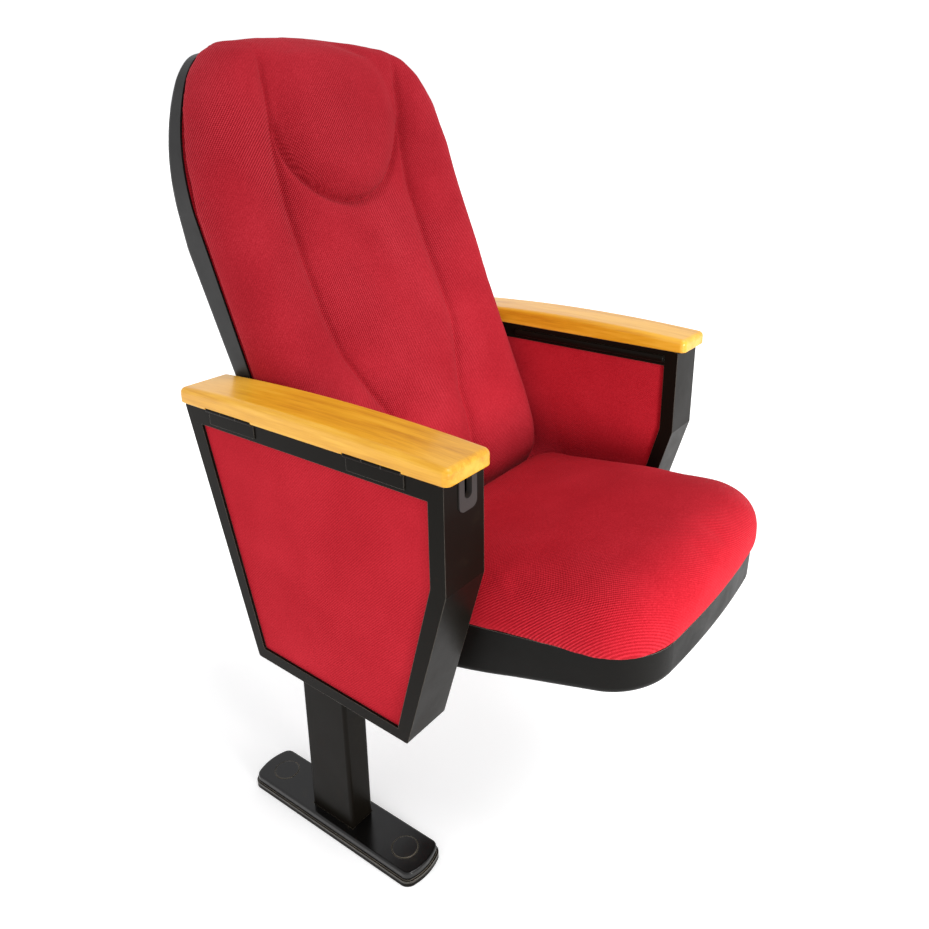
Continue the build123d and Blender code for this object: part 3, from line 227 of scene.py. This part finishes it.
# %% [markdown]
# ## Twill: the weave
# The cover is polyester twill, in which each row of yarn crosses one step further than the last, so
# that fine diagonal ribs appear. They could be an image, but a sine along one direction, broken by a
# finer sine across it for the yarns, needs none and never runs out. The direction mixes the axes, so
# that the ribs carry on round the edge of a pad. The nap lies this way and that, so the ribs stand
# out in some places only.

# %% Height of the weave
TWILL_RIB = 0.0027                     # metres between ribs; really about 0.001, too fine to show
TWILL_YARN = 0.0019                    # metres between yarns along a rib, drawn coarser too
YARN_SHARE = 0.35                      # height of the yarns beside the ribs
WANDER = 0.0012                        # metres that the ribs wander to the side at most
WANDER_MM = 45.45                      # length of such a swerve
NAP_MM = 166.7                         # width of an area where the nap lies one way
NAP_LOW, NAP_HIGH = 0.25, 1.75         # how far it weakens and strengthens the ribs


def stripes(tree, place, direction, spacing):
    """A sine from -1 to 1 along a direction, in object space."""
    along = Vector(direction).normalized() * (2 * pi / spacing)
    phase = add_node(tree, "ShaderNodeVectorMath", {0: place, 1: along}, operation="DOT_PRODUCT")
    return add_node(tree, "ShaderNodeMath", {0: phase.outputs["Value"]}, operation="SINE").outputs[0]


def weave_height(tree, place, rib_way, yarn_way):
    """The height of ribs and yarns, above and below 0, stronger in some areas as the nap lies."""
    wander = add_node(tree, "ShaderNodeTexNoise", {
        "Vector": place, "Scale": 1000 / WANDER_MM, "Detail": 1.0})
    sway = add_node(tree, "ShaderNodeVectorMath", {
        0: wander.outputs["Color"], "Scale": WANDER}, operation="SCALE")
    swayed = add_node(tree, "ShaderNodeVectorMath", {
        0: place, 1: sway.outputs[0]}, operation="ADD").outputs[0]
    rib = stripes(tree, swayed, rib_way, TWILL_RIB)
    yarn = stripes(tree, swayed, yarn_way, TWILL_YARN)
    both = add_node(tree, "ShaderNodeMath", {
        0: yarn, 1: YARN_SHARE, 2: rib}, operation="MULTIPLY_ADD")
    areas = add_node(tree, "ShaderNodeTexNoise", {
        "Vector": place, "Scale": 1000 / NAP_MM, "Detail": 1.0})
    nap = add_node(tree, "ShaderNodeMapRange", {
        "Value": areas.outputs["Fac"], "From Min": 0.38, "From Max": 0.62,
        "To Min": NAP_LOW, "To Max": NAP_HIGH})
    return add_node(tree, "ShaderNodeMath", {
        0: both.outputs[0], 1: nap.outputs["Result"]}, operation="MULTIPLY").outputs[0]


print("twill ribs every", TWILL_RIB * 1000, "mm")

# %% [markdown]
# ## Twill: the dyed cloth
# Dyed polyester is matt, with a faint bloom at its edges from loose fibre ends, which the sheen
# stands for. The dye takes a little unevenly: single yarns are lighter or darker, and broad patches
# differ. The crowns of the ribs are painted lighter and the hollows between them darker, a painted
# highlight and shade that follow the weave. One number, the tone, adds these up, and a ramp turns
# it into colour. Seat, back and panels are cut from the cloth in different directions, and its ribs
# show more clearly on some than on others, so each gets a material of its own. Each tone is also
# made lighter or darker as painted light and shade for the light that falls on that piece, and the
# back's ramp is paler and pinker, a painted sheen.

# %% Twill material
# the dark end of each ramp carries painted shade between the ribs and the light end a painted highlight
# on their crowns, besides the dye's own flecks and patches
DYE_DEEP = ("7E0711", "A21622", "C82C39")     # between the ribs, the cloth, crowns of the ribs
DYE_PAINTED_SHEEN = ("7E0E18", "A2202B", "C83A46")    # on the back, paler and pinker: a painted sheen
DYE_STOPS = (0.34, 0.50, 0.68)                # tones at which these three stand
FLECK_MM, PATCH_MM = 1.923, 90.9              # width of a yarn's fleck and of a patch in the dye
# the ribs' share is a painted highlight on their crowns and painted shade between them
RIB_LIGHT_AND_SHADE, FLECK_TONE, PATCH_TONE = 0.11, 0.22, 0.13    # how much each changes the tone
LEAST_TONE = 0.325                            # before flecks and patches are added


def twill(name, dye, rib_way, yarn_way, rib_shows, painted_light_shift):
    """Twill whose ribs follow one another along rib_way. rib_shows is how strongly they are drawn,
    and the last number makes the whole cloth lighter or darker, as painted light and shade for the
    light that falls on the piece."""
    material, tree, shader = new_material(name)
    place = add_node(tree, "ShaderNodeTexCoord").outputs["Object"]
    weave = weave_height(tree, place, rib_way, yarn_way)
    fleck = add_node(tree, "ShaderNodeTexNoise", {
        "Vector": place, "Scale": 1000 / FLECK_MM, "Detail": 2.0}).outputs["Fac"]
    patch = add_node(tree, "ShaderNodeTexNoise", {
        "Vector": place, "Scale": 1000 / PATCH_MM, "Detail": 3.0}).outputs["Fac"]
    # the shift is painted light and shade: it lightens or darkens the whole cloth for the light that
    # falls on the piece
    tone = LEAST_TONE + painted_light_shift
    # the ribs lighten the tone on their crowns and darken it between them: painted highlight and shade
    for change, share in ((weave, RIB_LIGHT_AND_SHADE * rib_shows), (fleck, FLECK_TONE), (patch, PATCH_TONE)):
        tone = add_node(tree, "ShaderNodeMath", {
            0: change, 1: share, 2: tone}, operation="MULTIPLY_ADD").outputs[0]
    colour = add_node(tree, "ShaderNodeValToRGB", {"Fac": tone}, stops=[
        (position, srgb(tint)) for position, tint in zip(DYE_STOPS, dye)])
    relief = add_node(tree, "ShaderNodeBump", {
        "Height": weave, "Strength": 0.55 * rib_shows, "Distance": 0.0005})
    fuzz = add_node(tree, "ShaderNodeBump", {
        "Height": fleck, "Strength": 0.20, "Distance": 0.0004, "Normal": relief.outputs[0]})
    tree.links.new(colour.outputs["Color"], shader.inputs["Base Color"])
    tree.links.new(fuzz.outputs[0], shader.inputs["Normal"])
    shader.inputs["Roughness"].default_value = 0.90
    shader.inputs["Specular IOR Level"].default_value = 0.06
    shader.inputs["Sheen Weight"].default_value = 0.12
    shader.inputs["Sheen Roughness"].default_value = 0.35
    shader.inputs["Sheen Tint"].default_value = srgb("FF8E96")
    return material


# the last numbers lighten the seat and panels and darken the back, as painted light and shade; the
# panels most, as the far panel gets little light
twill_seat = twill("polyester_twill_seat", DYE_DEEP, (1, 1, 1), (1, -1, -1), 0.55, 0.02)
# the back's paler, pinker ramp is a painted sheen
twill_back = twill("polyester_twill_back", DYE_PAINTED_SHEEN, (1, -1, -0.75), (1, 1, 0.75), 0.60, -0.01)
twill_panel = twill("polyester_twill_panel", DYE_DEEP, (0, 1, 1), (0, 1, -1), 0.25, 0.06)
print("cloths:", twill_seat.name, twill_back.name, twill_panel.name)

# %% [markdown]
# ## Lacquered wood
# The armrests are a light hardwood such as beech, stained golden and sprayed with clear gloss
# lacquer. The grain runs along the armrest: fine pores over broad, wavy bands from the growth rings.
# A picture of a board would end at the edges, but noise that is stretched along the armrest fills the
# whole block, so that bands and pores run out at its ends as they do in wood. A coat layer stands for
# the lacquer, whose smooth skin lies over the softer wood.

# %% Wood material
BAND_MM, LINE_MM, PORE_MM = 33.33, 6.667, 1.613    # widths of bands, grain lines and pores
GRAIN_STRETCH, PORE_STRETCH = 0.07, 0.03           # how much slower they change along the armrest
LINE_SHARE, PORE_SHARE = 0.55, 0.25                # their weight in the colour beside the bands
WOOD_TONES = ("C48414", "DEA020", "EAB034")        # dark grain, the stained wood, light grain
WOOD_STOPS = (0.62, 0.84, 1.0)                     # sums of bands, lines and pores at which they stand


def lacquered_wood():
    material, tree, shader = new_material("golden_lacquered_beech")
    place = add_node(tree, "ShaderNodeTexCoord").outputs["Object"]
    along = add_node(tree, "ShaderNodeMapping", {"Vector": place, "Scale": (1, GRAIN_STRETCH, 1)})
    fine = add_node(tree, "ShaderNodeMapping", {"Vector": place, "Scale": (1, PORE_STRETCH, 1)})
    bands = add_node(tree, "ShaderNodeTexNoise", {
        "Vector": along.outputs[0], "Scale": 1000 / BAND_MM, "Detail": 3.0, "Distortion": 0.6})
    lines = add_node(tree, "ShaderNodeTexNoise", {
        "Vector": along.outputs[0], "Scale": 1000 / LINE_MM, "Detail": 4.0, "Roughness": 0.6})
    pores = add_node(tree, "ShaderNodeTexNoise", {
        "Vector": fine.outputs[0], "Scale": 1000 / PORE_MM, "Detail": 2.0})
    grain = bands.outputs["Fac"]
    for finer, share in ((lines, LINE_SHARE), (pores, PORE_SHARE)):
        grain = add_node(tree, "ShaderNodeMath", {
            0: finer.outputs["Fac"], 1: share, 2: grain}, operation="MULTIPLY_ADD").outputs[0]
    colour = add_node(tree, "ShaderNodeValToRGB", {"Fac": grain}, stops=[
        (position, srgb(tone)) for position, tone in zip(WOOD_STOPS, WOOD_TONES)])
    relief = add_node(tree, "ShaderNodeBump", {
        "Height": pores.outputs["Fac"], "Strength": 0.10, "Distance": 0.0002})
    tree.links.new(colour.outputs["Color"], shader.inputs["Base Color"])
    tree.links.new(relief.outputs[0], shader.inputs["Normal"])
    shader.inputs["Roughness"].default_value = 0.38
    shader.inputs["Specular IOR Level"].default_value = 0.3
    shader.inputs["Coat Weight"].default_value = 0.35
    shader.inputs["Coat Roughness"].default_value = 0.14
    shader.inputs["Coat IOR"].default_value = 1.5
    return material


wood_finish = lacquered_wood()
print("made", wood_finish.name)

# %% [markdown]
# ## Worn edges and painted edge highlights
# Hands and shoes rub paint and plastic lighter along their hard edges, in short stretches, and hard
# edges also catch the light in thin bright lines. One lighter colour on the edges stands for both:
# partly wear, partly a painted highlight. The edges could be painted by hand. A Bevel node finds them
# instead: it gives the normal of a slightly rounded copy, and where that differs from the true normal,
# there is an edge. The same rounded normal also takes the knife sharpness off the edges of the
# measured pieces, without a change to their shape.

# %% Worn edges and painted edge highlights
EDGE_ROUND = 0.0013                    # metres, how far from an edge the wear and the painted highlight reach


def edge_wear_and_highlight(tree, patch):
    """A rounded normal, and a mask that is bright on stretches of the hard edges, for wear and a painted
    highlight.
    """
    rounded = add_node(tree, "ShaderNodeBevel", {"Radius": EDGE_ROUND}, samples=4).outputs["Normal"]
    flat = add_node(tree, "ShaderNodeNewGeometry").outputs["Normal"]
    alike = add_node(tree, "ShaderNodeVectorMath", {0: rounded, 1: flat}, operation="DOT_PRODUCT")
    worn_highlit_edge = add_node(tree, "ShaderNodeMapRange", {
        "Value": alike.outputs["Value"], "From Min": 0.985, "From Max": 0.90,
        "To Min": 0.0, "To Max": 1.5})
    broken = add_node(tree, "ShaderNodeMath", {
        0: worn_highlit_edge.outputs["Result"], 1: patch}, operation="MULTIPLY")
    return rounded, broken.outputs[0]


# the worn edges are partly a painted highlight along edges that catch the light
print("edges are worn", EDGE_ROUND * 1000, "mm wide")

# %% [markdown]
# ## Black paint and black plastic
# Almost all the rest is black, and the eye tells its finishes apart by their gloss. The steel is
# powder coated: satin, with the faint orange peel of melted powder. The seat pan and the back shell
# are moulded polypropylene with a fine leather-like tool grain. The foot covers are glossier, and
# worn most. Each could have a tree of its own, but they differ only in colour, gloss and the size of
# their grain, so one function makes them all.

# %% Hard finishes
MIX_A, MIX_B, MIX_RESULT = 6, 7, 2     # the colour sockets of a mix node, which share their names
PLAIN_UP_TO = 0.62                     # patches below this have the plain colour
GLOSSIEST, DULLEST = 0.82, 1.3         # roughness of such patches beside the plain one


def hard_finish(name, colour, worn, roughness, grain_mm, relief_mm, patch_mm=60.0, wear=0.35,
                metal=0.0, specular=0.5, worn_highlit_edge=None):
    """A moulded, painted or plated surface: fine grain, with soft patches of another tone and gloss.
    wear is how far the worn tone spreads, and the last colour is the lighter colour of the hard edges,
    partly wear and partly a painted highlight."""
    material, tree, shader = new_material(name)
    place = add_node(tree, "ShaderNodeTexCoord").outputs["Object"]
    grain = add_node(tree, "ShaderNodeTexNoise", {
        "Vector": place, "Scale": 1000 / grain_mm, "Detail": 2.0})
    patch = add_node(tree, "ShaderNodeTexNoise", {
        "Vector": place, "Scale": 1000 / patch_mm, "Detail": 5.0, "Roughness": 0.62}).outputs["Fac"]
    worn_from = PLAIN_UP_TO + (1 - PLAIN_UP_TO) * (1 - wear)
    tint = add_node(tree, "ShaderNodeValToRGB", {"Fac": patch}, stops=[
        (PLAIN_UP_TO, srgb(colour)), (worn_from, srgb(worn))]).outputs["Color"]
    gloss = add_node(tree, "ShaderNodeMapRange", {
        "Value": patch, "From Min": 0.3, "From Max": 0.75,
        "To Min": roughness * GLOSSIEST, "To Max": min(1.0, roughness * DULLEST)})
    relief = add_node(tree, "ShaderNodeBump", {
        "Height": grain.outputs["Fac"], "Strength": 0.4, "Distance": relief_mm / 1000})
    if worn_highlit_edge:
        rounded, broken = edge_wear_and_highlight(tree, patch)
        tree.links.new(rounded, relief.inputs["Normal"])
        # the edges are painted lighter: partly wear, partly a painted highlight
        tint = add_node(tree, "ShaderNodeMix", {
            "Factor": broken, MIX_A: tint, MIX_B: srgb(worn_highlit_edge)}, data_type="RGBA").outputs[MIX_RESULT]
    tree.links.new(tint, shader.inputs["Base Color"])
    tree.links.new(gloss.outputs[0], shader.inputs["Roughness"])
    tree.links.new(relief.outputs[0], shader.inputs["Normal"])
    shader.inputs["Metallic"].default_value = metal
    shader.inputs["Specular IOR Level"].default_value = specular
    return material


# the lighter edge colours of the steel, the pan and the feet are partly wear, partly a painted highlight
powder_coat = hard_finish("satin_black_powder_coat", "110E0A", "211B12", 0.32, 2.2, 0.05,
                          specular=0.06, worn_highlit_edge="6E6860")
pan_plastic = hard_finish("moulded_black_polypropylene", "0E0D0B", "1B1915", 0.40, 1.1, 0.05,
                          specular=0.09, worn_highlit_edge="8A857C")
shell_plastic = hard_finish("grained_black_back_shell", "100F0E", "201E1B", 0.40, 1.1, 0.05,
                            specular=0.30)
foot_plastic = hard_finish("gloss_black_foot_cover", "0D0C0B", "2A2419", 0.20, 1.8, 0.04,
                           patch_mm=24.0, wear=0.5, specular=0.45, worn_highlit_edge="8C8270")
print("made", powder_coat.name, pan_plastic.name, shell_plastic.name, foot_plastic.name)

# %% [markdown]
# ## The plain inner materials
# Inside and underneath are the materials of the workings: the grey liner of the slot, the black
# tablet board, bare birch plywood, zinc-plated steel, nylon bushes and rubber pads. Little of them is
# seen, so the same function does, with the colour, gloss and grain of each. Only the zinc is a metal.

# %% Inner materials
liner_plastic = hard_finish("grey_moulded_liner", "383433", "4C4847", 0.50, 0.9, 0.06, specular=0.2)
tablet_plastic = hard_finish("moulded_tablet_board", "0A0A0A", "141414", 0.50, 1.2, 0.05, specular=0.10)
bare_plywood = hard_finish("unfinished_birch_plywood", "B08C5C", "C9A877", 0.72, 1.5, 0.10)
zinc_steel = hard_finish("zinc_plated_steel", "A9ABAD", "C2C3C3", 0.32, 1.5, 0.02, metal=1.0)
nylon = hard_finish("natural_nylon", "D6D2C6", "E2DED2", 0.45, 1.5, 0.03)
rubber = hard_finish("moulded_rubber", "161616", "222222", 0.80, 1.2, 0.08, specular=0.3)
print("made", liner_plastic.name, tablet_plastic.name, bare_plywood.name)
print("made", zinc_steel.name, nylon.name, rubber.name)

# %% [markdown]
# ## Dressing the measured frame
# Every measured piece names the material that it is made of, so a table turns that name into a
# finish. Three pieces get one of their own. The covers are pulled round the rims of the two plywood
# boards, where a thin line of them shows, so the boards wear twill, and the back shell is glossier
# than the pan. Only materials are handed out: the measured meshes stay as they are.

# %% Hand out the finishes
FINISHES = {
    "powder_coat": powder_coat, "black_plastic": pan_plastic, "foot_plastic": foot_plastic,
    "grey_plastic": liner_plastic, "tablet_plastic": tablet_plastic, "plywood": bare_plywood,
    "zinc_steel": zinc_steel, "nylon": nylon, "rubber": rubber,
    "lacquered_wood": wood_finish, "red_twill": twill_panel,
}
OWN_FINISH = {"seat_board": twill_panel, "back_board": twill_panel, "back_shell": shell_plastic}


def dress_frame():
    """Gives each measured piece its own finish, or else the one that its material slot names."""
    slot_of = {part["node"]: part["material_slot"] for part in frame["record"]["subparts"]}
    for name, piece in nodes.items():
        finish = OWN_FINISH.get(name, FINISHES[slot_of[name]])
        for holder in piece.material_slots:
            holder.material = finish


dress_frame()
print("dressed", len(nodes), "measured pieces,", len(OWN_FINISH), "of them in their own finish")

# %% [markdown]
# ## Soft pieces: from foam block to skin
# An upholsterer stretches the cover over a moulded foam block, so the pad is round and taut, and the
# cover bridges every hollow a little. We start as they do, from the block: a copy of the measured pad,
# whose loose triangles are joined and remeshed into even squares that can swell and smooth evenly.

# %% Copy, remesh and relax
VOXEL = 0.005                          # metres, side of a remeshed square


def merged_copy(node_name, piece_name):
    """A copy of a measured piece whose loose triangles are joined into one skin."""
    mesh = nodes[node_name].data.copy()
    mesh.materials.clear()
    piece = bpy.data.objects.new(piece_name, mesh)
    scene.collection.objects.link(piece)
    form = bmesh.new()
    form.from_mesh(mesh)
    bmesh.ops.remove_doubles(form, verts=form.verts, dist=1e-5)
    form.to_mesh(mesh)
    form.free()
    return piece


def apply_modifiers(piece):
    """Bakes the live modifiers into the piece's own mesh."""
    graph = bpy.context.evaluated_depsgraph_get()
    mesh = bpy.data.meshes.new_from_object(piece.evaluated_get(graph))
    piece.modifiers.clear()
    piece.data = mesh


def remesh(piece):
    rule = piece.modifiers.new("squares", "REMESH")
    rule.mode = "VOXEL"
    rule.voxel_size = VOXEL
    rule.use_smooth_shade = True
    apply_modifiers(piece)


def relax(piece, rounds, factor=0.5):
    """Smooths the skin, as stretched cloth does."""
    form = bmesh.new()
    form.from_mesh(piece.data)
    for _ in range(rounds):
        bmesh.ops.smooth_vert(form, verts=form.verts, factor=factor,
                              use_axis_x=True, use_axis_y=True, use_axis_z=True)
    form.to_mesh(piece.data)
    form.free()


print("pads are remeshed at", VOXEL * 1000, "mm")

# %% [markdown]
# ## Soft pieces: a cover under pressure
# The foam presses the cover out from inside. Pushing every point out alike would do for a ball, but a
# cover stays tight over edges and swells in the middle of a face. Cloth simulation gives that:
# pressure inside a closed skin, no gravity, and a few frames. No point may move further than a cap,
# so that the pad keeps the size that was measured.

# %% Inflate
SIM_FRAMES = 20
PRESSURE = 4.0
SWELL_CAP = 0.003                      # metres


def inflate(piece):
    """Blows the skin up by cloth simulation, and lets no point move further than the cap."""
    start = [v.co.copy() for v in piece.data.vertices]
    cloth = piece.modifiers.new("cloth", "CLOTH")
    cloth.settings.quality = 5
    cloth.settings.mass = 0.3
    cloth.settings.tension_stiffness = 40.0
    cloth.settings.compression_stiffness = 40.0
    cloth.settings.bending_stiffness = 6.0
    cloth.settings.use_pressure = True
    cloth.settings.uniform_pressure_force = PRESSURE
    cloth.settings.effector_weights.gravity = 0.0
    cloth.point_cache.frame_start = 1
    cloth.point_cache.frame_end = SIM_FRAMES
    for step in range(1, SIM_FRAMES + 1):
        scene.frame_set(step)
    apply_modifiers(piece)
    scene.frame_set(1)
    furthest = 0.0
    for vertex, home in zip(piece.data.vertices, start):
        move = vertex.co - home
        furthest = max(furthest, move.length)
        if move.length > SWELL_CAP:
            vertex.co = home + move.normalized() * SWELL_CAP
    print(piece.name, "swelled up to", round(furthest * 1000, 1), "mm before the cap")


print("covers swell by", SWELL_CAP * 1000, "mm at most")

# %% [markdown]
# ## Soft pieces: shaping by rule
# What the upholsterer pulls and presses by hand is done by rules here: each point moves by an amount
# that depends on where it is and which way it faces. Two small functions keep such rules smooth. One
# reads a short table of places and amounts, and the other rises softly from 0 to 1, so that a rule
# fades in where a hard limit would leave a crease.


def read_table(value, table):
    """Reads a short table of (place, amount) pairs, straight between its entries."""
    if value <= table[0][0]:
        return table[0][1]
    for (p0, a0), (p1, a1) in zip(table, table[1:]):
        if value <= p1:
            share = (value - p0) / (p1 - p0)
            return a0 + (a1 - a0) * share
    return table[-1][1]


def ease(value, low, high):
    """0 below low, 1 above high, and a soft S between."""
    share = min(1.0, max(0.0, (value - low) / (high - low)))
    return share * share * (3 - 2 * share)


def push(piece, amount):
    """Moves every point along its normal by amount(point, normal), in metres."""
    moves = [vertex.normal * amount(vertex.co, vertex.normal) for vertex in piece.data.vertices]
    for vertex, move in zip(piece.data.vertices, moves):
        vertex.co += move


def subdivide(piece):
    rule = piece.modifiers.new("fine", "SUBSURF")
    rule.levels = rule.render_levels = 1
    apply_modifiers(piece)


def finish_pad(piece, material, body, node_name):
    """Last steps that both pads share."""
    piece.data.materials.clear()
    piece.data.materials.append(material)
    for face in piece.data.polygons:
        face.use_smooth = True
    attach(piece, body)
    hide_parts(node_name)
    print(piece.name, "has", len(piece.data.polygons), "faces")


print("halfway, ease gives", ease(0.5, 0.0, 1.0), "and a quarter of the way", ease(0.25, 0.0, 1.0))

# %% [markdown]
# ## Seat cushion
# The seat pad is plain, with no seam on top: a taut crown that swells a little more at its sides and
# reaches down over the edge of the plywood board. It could be sculpted by hand. But the measured foam
# has its outline and crown already, so three short rules are enough: one for the swell, one that
# raises the top under the thighs, and one that draws the rim down.

# %% Seat cushion
SEAT_SWELL = 0.0022                    # metres that the cover's thickness and the foam add
SEAT_SIDE_SWELL = 0.004                # more on the sides
SEAT_SIDES_FROM = (0.25, 0.33)         # metres forward where that begins, clear of the arms
SEAT_RIM_DROP = 0.005                  # the cover reaches down over the edge of the board
SEAT_CROWN = (                         # (y, change of height), metres
    (-0.42, 0.0), (-0.34, 0.004), (-0.22, 0.006), (-0.12, 0.0), (-0.065, -0.003), (-0.02, 0.0))


def seat_swell(point, normal):
    """The sides swell more, and the underside, which lies on the board, doesn't."""
    sides = ease(-point.y, *SEAT_SIDES_FROM) * ease(abs(normal.x), 0.3, 0.8)
    return (SEAT_SWELL + SEAT_SIDE_SWELL * sides) * ease(normal.z, -0.9, -0.5)


def shape_seat(piece):
    """Crowns the top a little more, and draws the lower rim down over the board."""
    ups = [vertex.normal.z for vertex in piece.data.vertices]
    for vertex, up in zip(piece.data.vertices, ups):
        crown = read_table(vertex.co.y, SEAT_CROWN) * ease(up, 0.0, 0.6)
        vertex.co.z += crown - SEAT_RIM_DROP * ease(-up, -0.3, 0.2)


def build_seat_cushion():
    pad = merged_copy("seat_cushion", "seat_cushion_pad")
    remesh(pad)
    relax(pad, 5)
    inflate(pad)
    relax(pad, 3)
    push(pad, seat_swell)
    shape_seat(pad)
    relax(pad, 2)
    subdivide(pad)
    finish_pad(pad, twill_seat, "seat", "seat_cushion")


build_seat_cushion()

# %% [markdown]
# ## Back cushion: the sewn channels
# The back is moulded foam with two side bolsters, a centre panel and a headrest. The cover is drawn
# into narrow sewn channels: two long ones that run from the top edge down and converge, and a curved
# one under the headrest. They could be modelled into the foam, but a remesh would rub out such fine
# grooves. So each is a line in the front view, a table for the long ones and a circle for the curved
# one, and is pressed in last: a soft valley with a narrow seam in its bottom.

# %% Channels of the back
CHANNEL_LINE = (                       # (height, half distance between the channels), metres
    (0.375, 0.060), (0.484, 0.075), (0.545, 0.083), (0.600, 0.109), (0.640, 0.126),
    (0.700, 0.131), (0.880, 0.130), (1.000, 0.132), (1.061, 0.134))
CHANNEL_TOP, CHANNEL_FOOT = 1.056, 0.39
TOP_FADE, FOOT_FADE = 0.06, 0.05       # metres over which a channel runs out at its ends
SEAM_WIDTH, SEAM_DEPTH = 0.0055, 0.0058
VALLEY_WIDTH, VALLEY_DEPTH = 0.0180, 0.0060
HEADREST_CENTRE = 0.968                # height of the centre of the curved channel
HEADREST_RADIUS = 0.129
RING_DEPTH, RING_END_DEPTH = 1.3, 0.6  # beside the long ones: in the middle, and where it meets them
RING_FADE = 0.08                       # metres of height over which its depth changes
FAR_AWAY = 1.0                         # metres, where no channel is near


def channel_distances(x, z):
    """How far a point of the front view is from the nearest long channel and from the curved one."""
    side = abs(abs(x) - read_table(z, CHANNEL_LINE))
    ring = abs((x ** 2 + (z - HEADREST_CENTRE) ** 2) ** 0.5 - HEADREST_RADIUS)
    return side, ring if z < HEADREST_CENTRE else FAR_AWAY


def groove(distance):
    """Depth of a channel at a distance from its line."""
    return (SEAM_DEPTH * exp(-(distance / SEAM_WIDTH) ** 2)
            + VALLEY_DEPTH * exp(-(distance / VALLEY_WIDTH) ** 2))


def channel_depth(x, z):
    side, ring = channel_distances(x, z)
    foot = ease(z, CHANNEL_FOOT, CHANNEL_FOOT + FOOT_FADE)
    top = 1 - ease(z, CHANNEL_TOP - TOP_FADE, CHANNEL_TOP)
    end = ease(z, HEADREST_CENTRE - RING_FADE, HEADREST_CENTRE)
    ring_share = RING_DEPTH - (RING_DEPTH - RING_END_DEPTH) * end
    return max(groove(side) * (foot * top), groove(ring) * ring_share)


print("channels are", round(groove(0.0) * 1000, 1), "mm deep")

# %% [markdown]
# ## Back cushion: headrest and fullness
# The headrest stands a little prouder than the foam below it, and the top of the back leans forward
# over its shell. The cover is fuller at the two top corners, where it hides the edge of the shell.
# A sculpting brush could raise them. The same soft rules do it here, so that the measured sizes of
# the foam stay what everything is reckoned from.

# %% Headrest and fullness of the back
HEADREST_PROUD, HEADREST_EDGE = 0.008, 0.05    # metres it stands out, and over which it rises
HEADREST_TOP = (1.0, 1.055)            # heights between which it falls back again
TOP_FORWARD = 0.013                    # metres that the top leans forward
LEAN_HEIGHTS = (0.83, 1.0)
BACK_SWELL, CORNER_SWELL = 0.0035, 0.0045
CORNER_HEIGHTS, CORNER_SIDES = (0.90, 1.0), (0.10, 0.18)


def headrest_rise(x, z):
    """The headrest stands proud inside its curved channel and the two long ones."""
    from_centre = (x ** 2 + min(0.0, z - HEADREST_CENTRE) ** 2) ** 0.5
    inside = ease(HEADREST_RADIUS - from_centre, 0.0, HEADREST_EDGE)
    return HEADREST_PROUD * inside * (1 - ease(z, *HEADREST_TOP))


def back_swell(point, normal):
    """The top corners are fuller, and the rear, which lies on the board, doesn't swell."""
    corner = ease(point.z, *CORNER_HEIGHTS) * ease(abs(point.x), *CORNER_SIDES)
    return (BACK_SWELL + CORNER_SWELL * corner) * ease(0.8 - normal.y, 0.0, 0.6)


print("the headrest stands", round(headrest_rise(0.0, HEADREST_CENTRE) * 1000, 1), "mm proud")

# %% [markdown]
# ## Back cushion: pressed and raised
# The narrow seams need finer squares than the rest of the skin. Dividing the whole pad once more
# would cost four times the faces, so only the front's edges near a channel are divided. Then the
# front is pressed and raised in one step, which fades out round the sides, and a last light smoothing
# takes off the marks of the squares.

# %% Back cushion
FINE_BAND = 0.028                      # metres each side of a channel that are divided once more
FRONT_FACING = -0.2                    # the normal's y of skin that counts as front
PRESS_WAY = Vector((0, 1, -0.25)).normalized()    # roughly square to the leaning back


def refine_near_channels(piece):
    """Divides the faces near the channels, so that the narrow seam can be pressed in."""
    form = bmesh.new()
    form.from_mesh(piece.data)
    near = []
    for edge in form.edges:
        middle = (edge.verts[0].co + edge.verts[1].co) / 2
        on_front = edge.verts[0].normal.y < FRONT_FACING
        if on_front and min(channel_distances(middle.x, middle.z)) < FINE_BAND:
            near.append(edge)
    bmesh.ops.subdivide_edges(form, edges=near, cuts=1, use_grid_fill=True, smooth=1.0)
    form.to_mesh(piece.data)
    form.free()
    piece.data.update()


def shape_back_front(piece):
    """Presses the channels in, raises the headrest and leans the top forward."""
    facing = [-vertex.normal.y for vertex in piece.data.vertices]
    for vertex, front in zip(piece.data.vertices, facing):
        x, _, z = vertex.co
        pressed = ease(front, 0.15, 0.6) * channel_depth(x, z)
        lean = headrest_rise(x, z) + TOP_FORWARD * ease(z, *LEAN_HEIGHTS)
        vertex.co += PRESS_WAY * (pressed - ease(front, -0.35, 0.85) * lean)


def build_back_cushion():
    pad = merged_copy("back_cushion", "back_cushion_pad")
    remesh(pad)
    relax(pad, 4)
    inflate(pad)
    relax(pad, 2)
    push(pad, back_swell)
    subdivide(pad)
    refine_near_channels(pad)
    shape_back_front(pad)
    relax(pad, 1, 0.3)
    finish_pad(pad, twill_back, "frame", "back_cushion")


build_back_cushion()
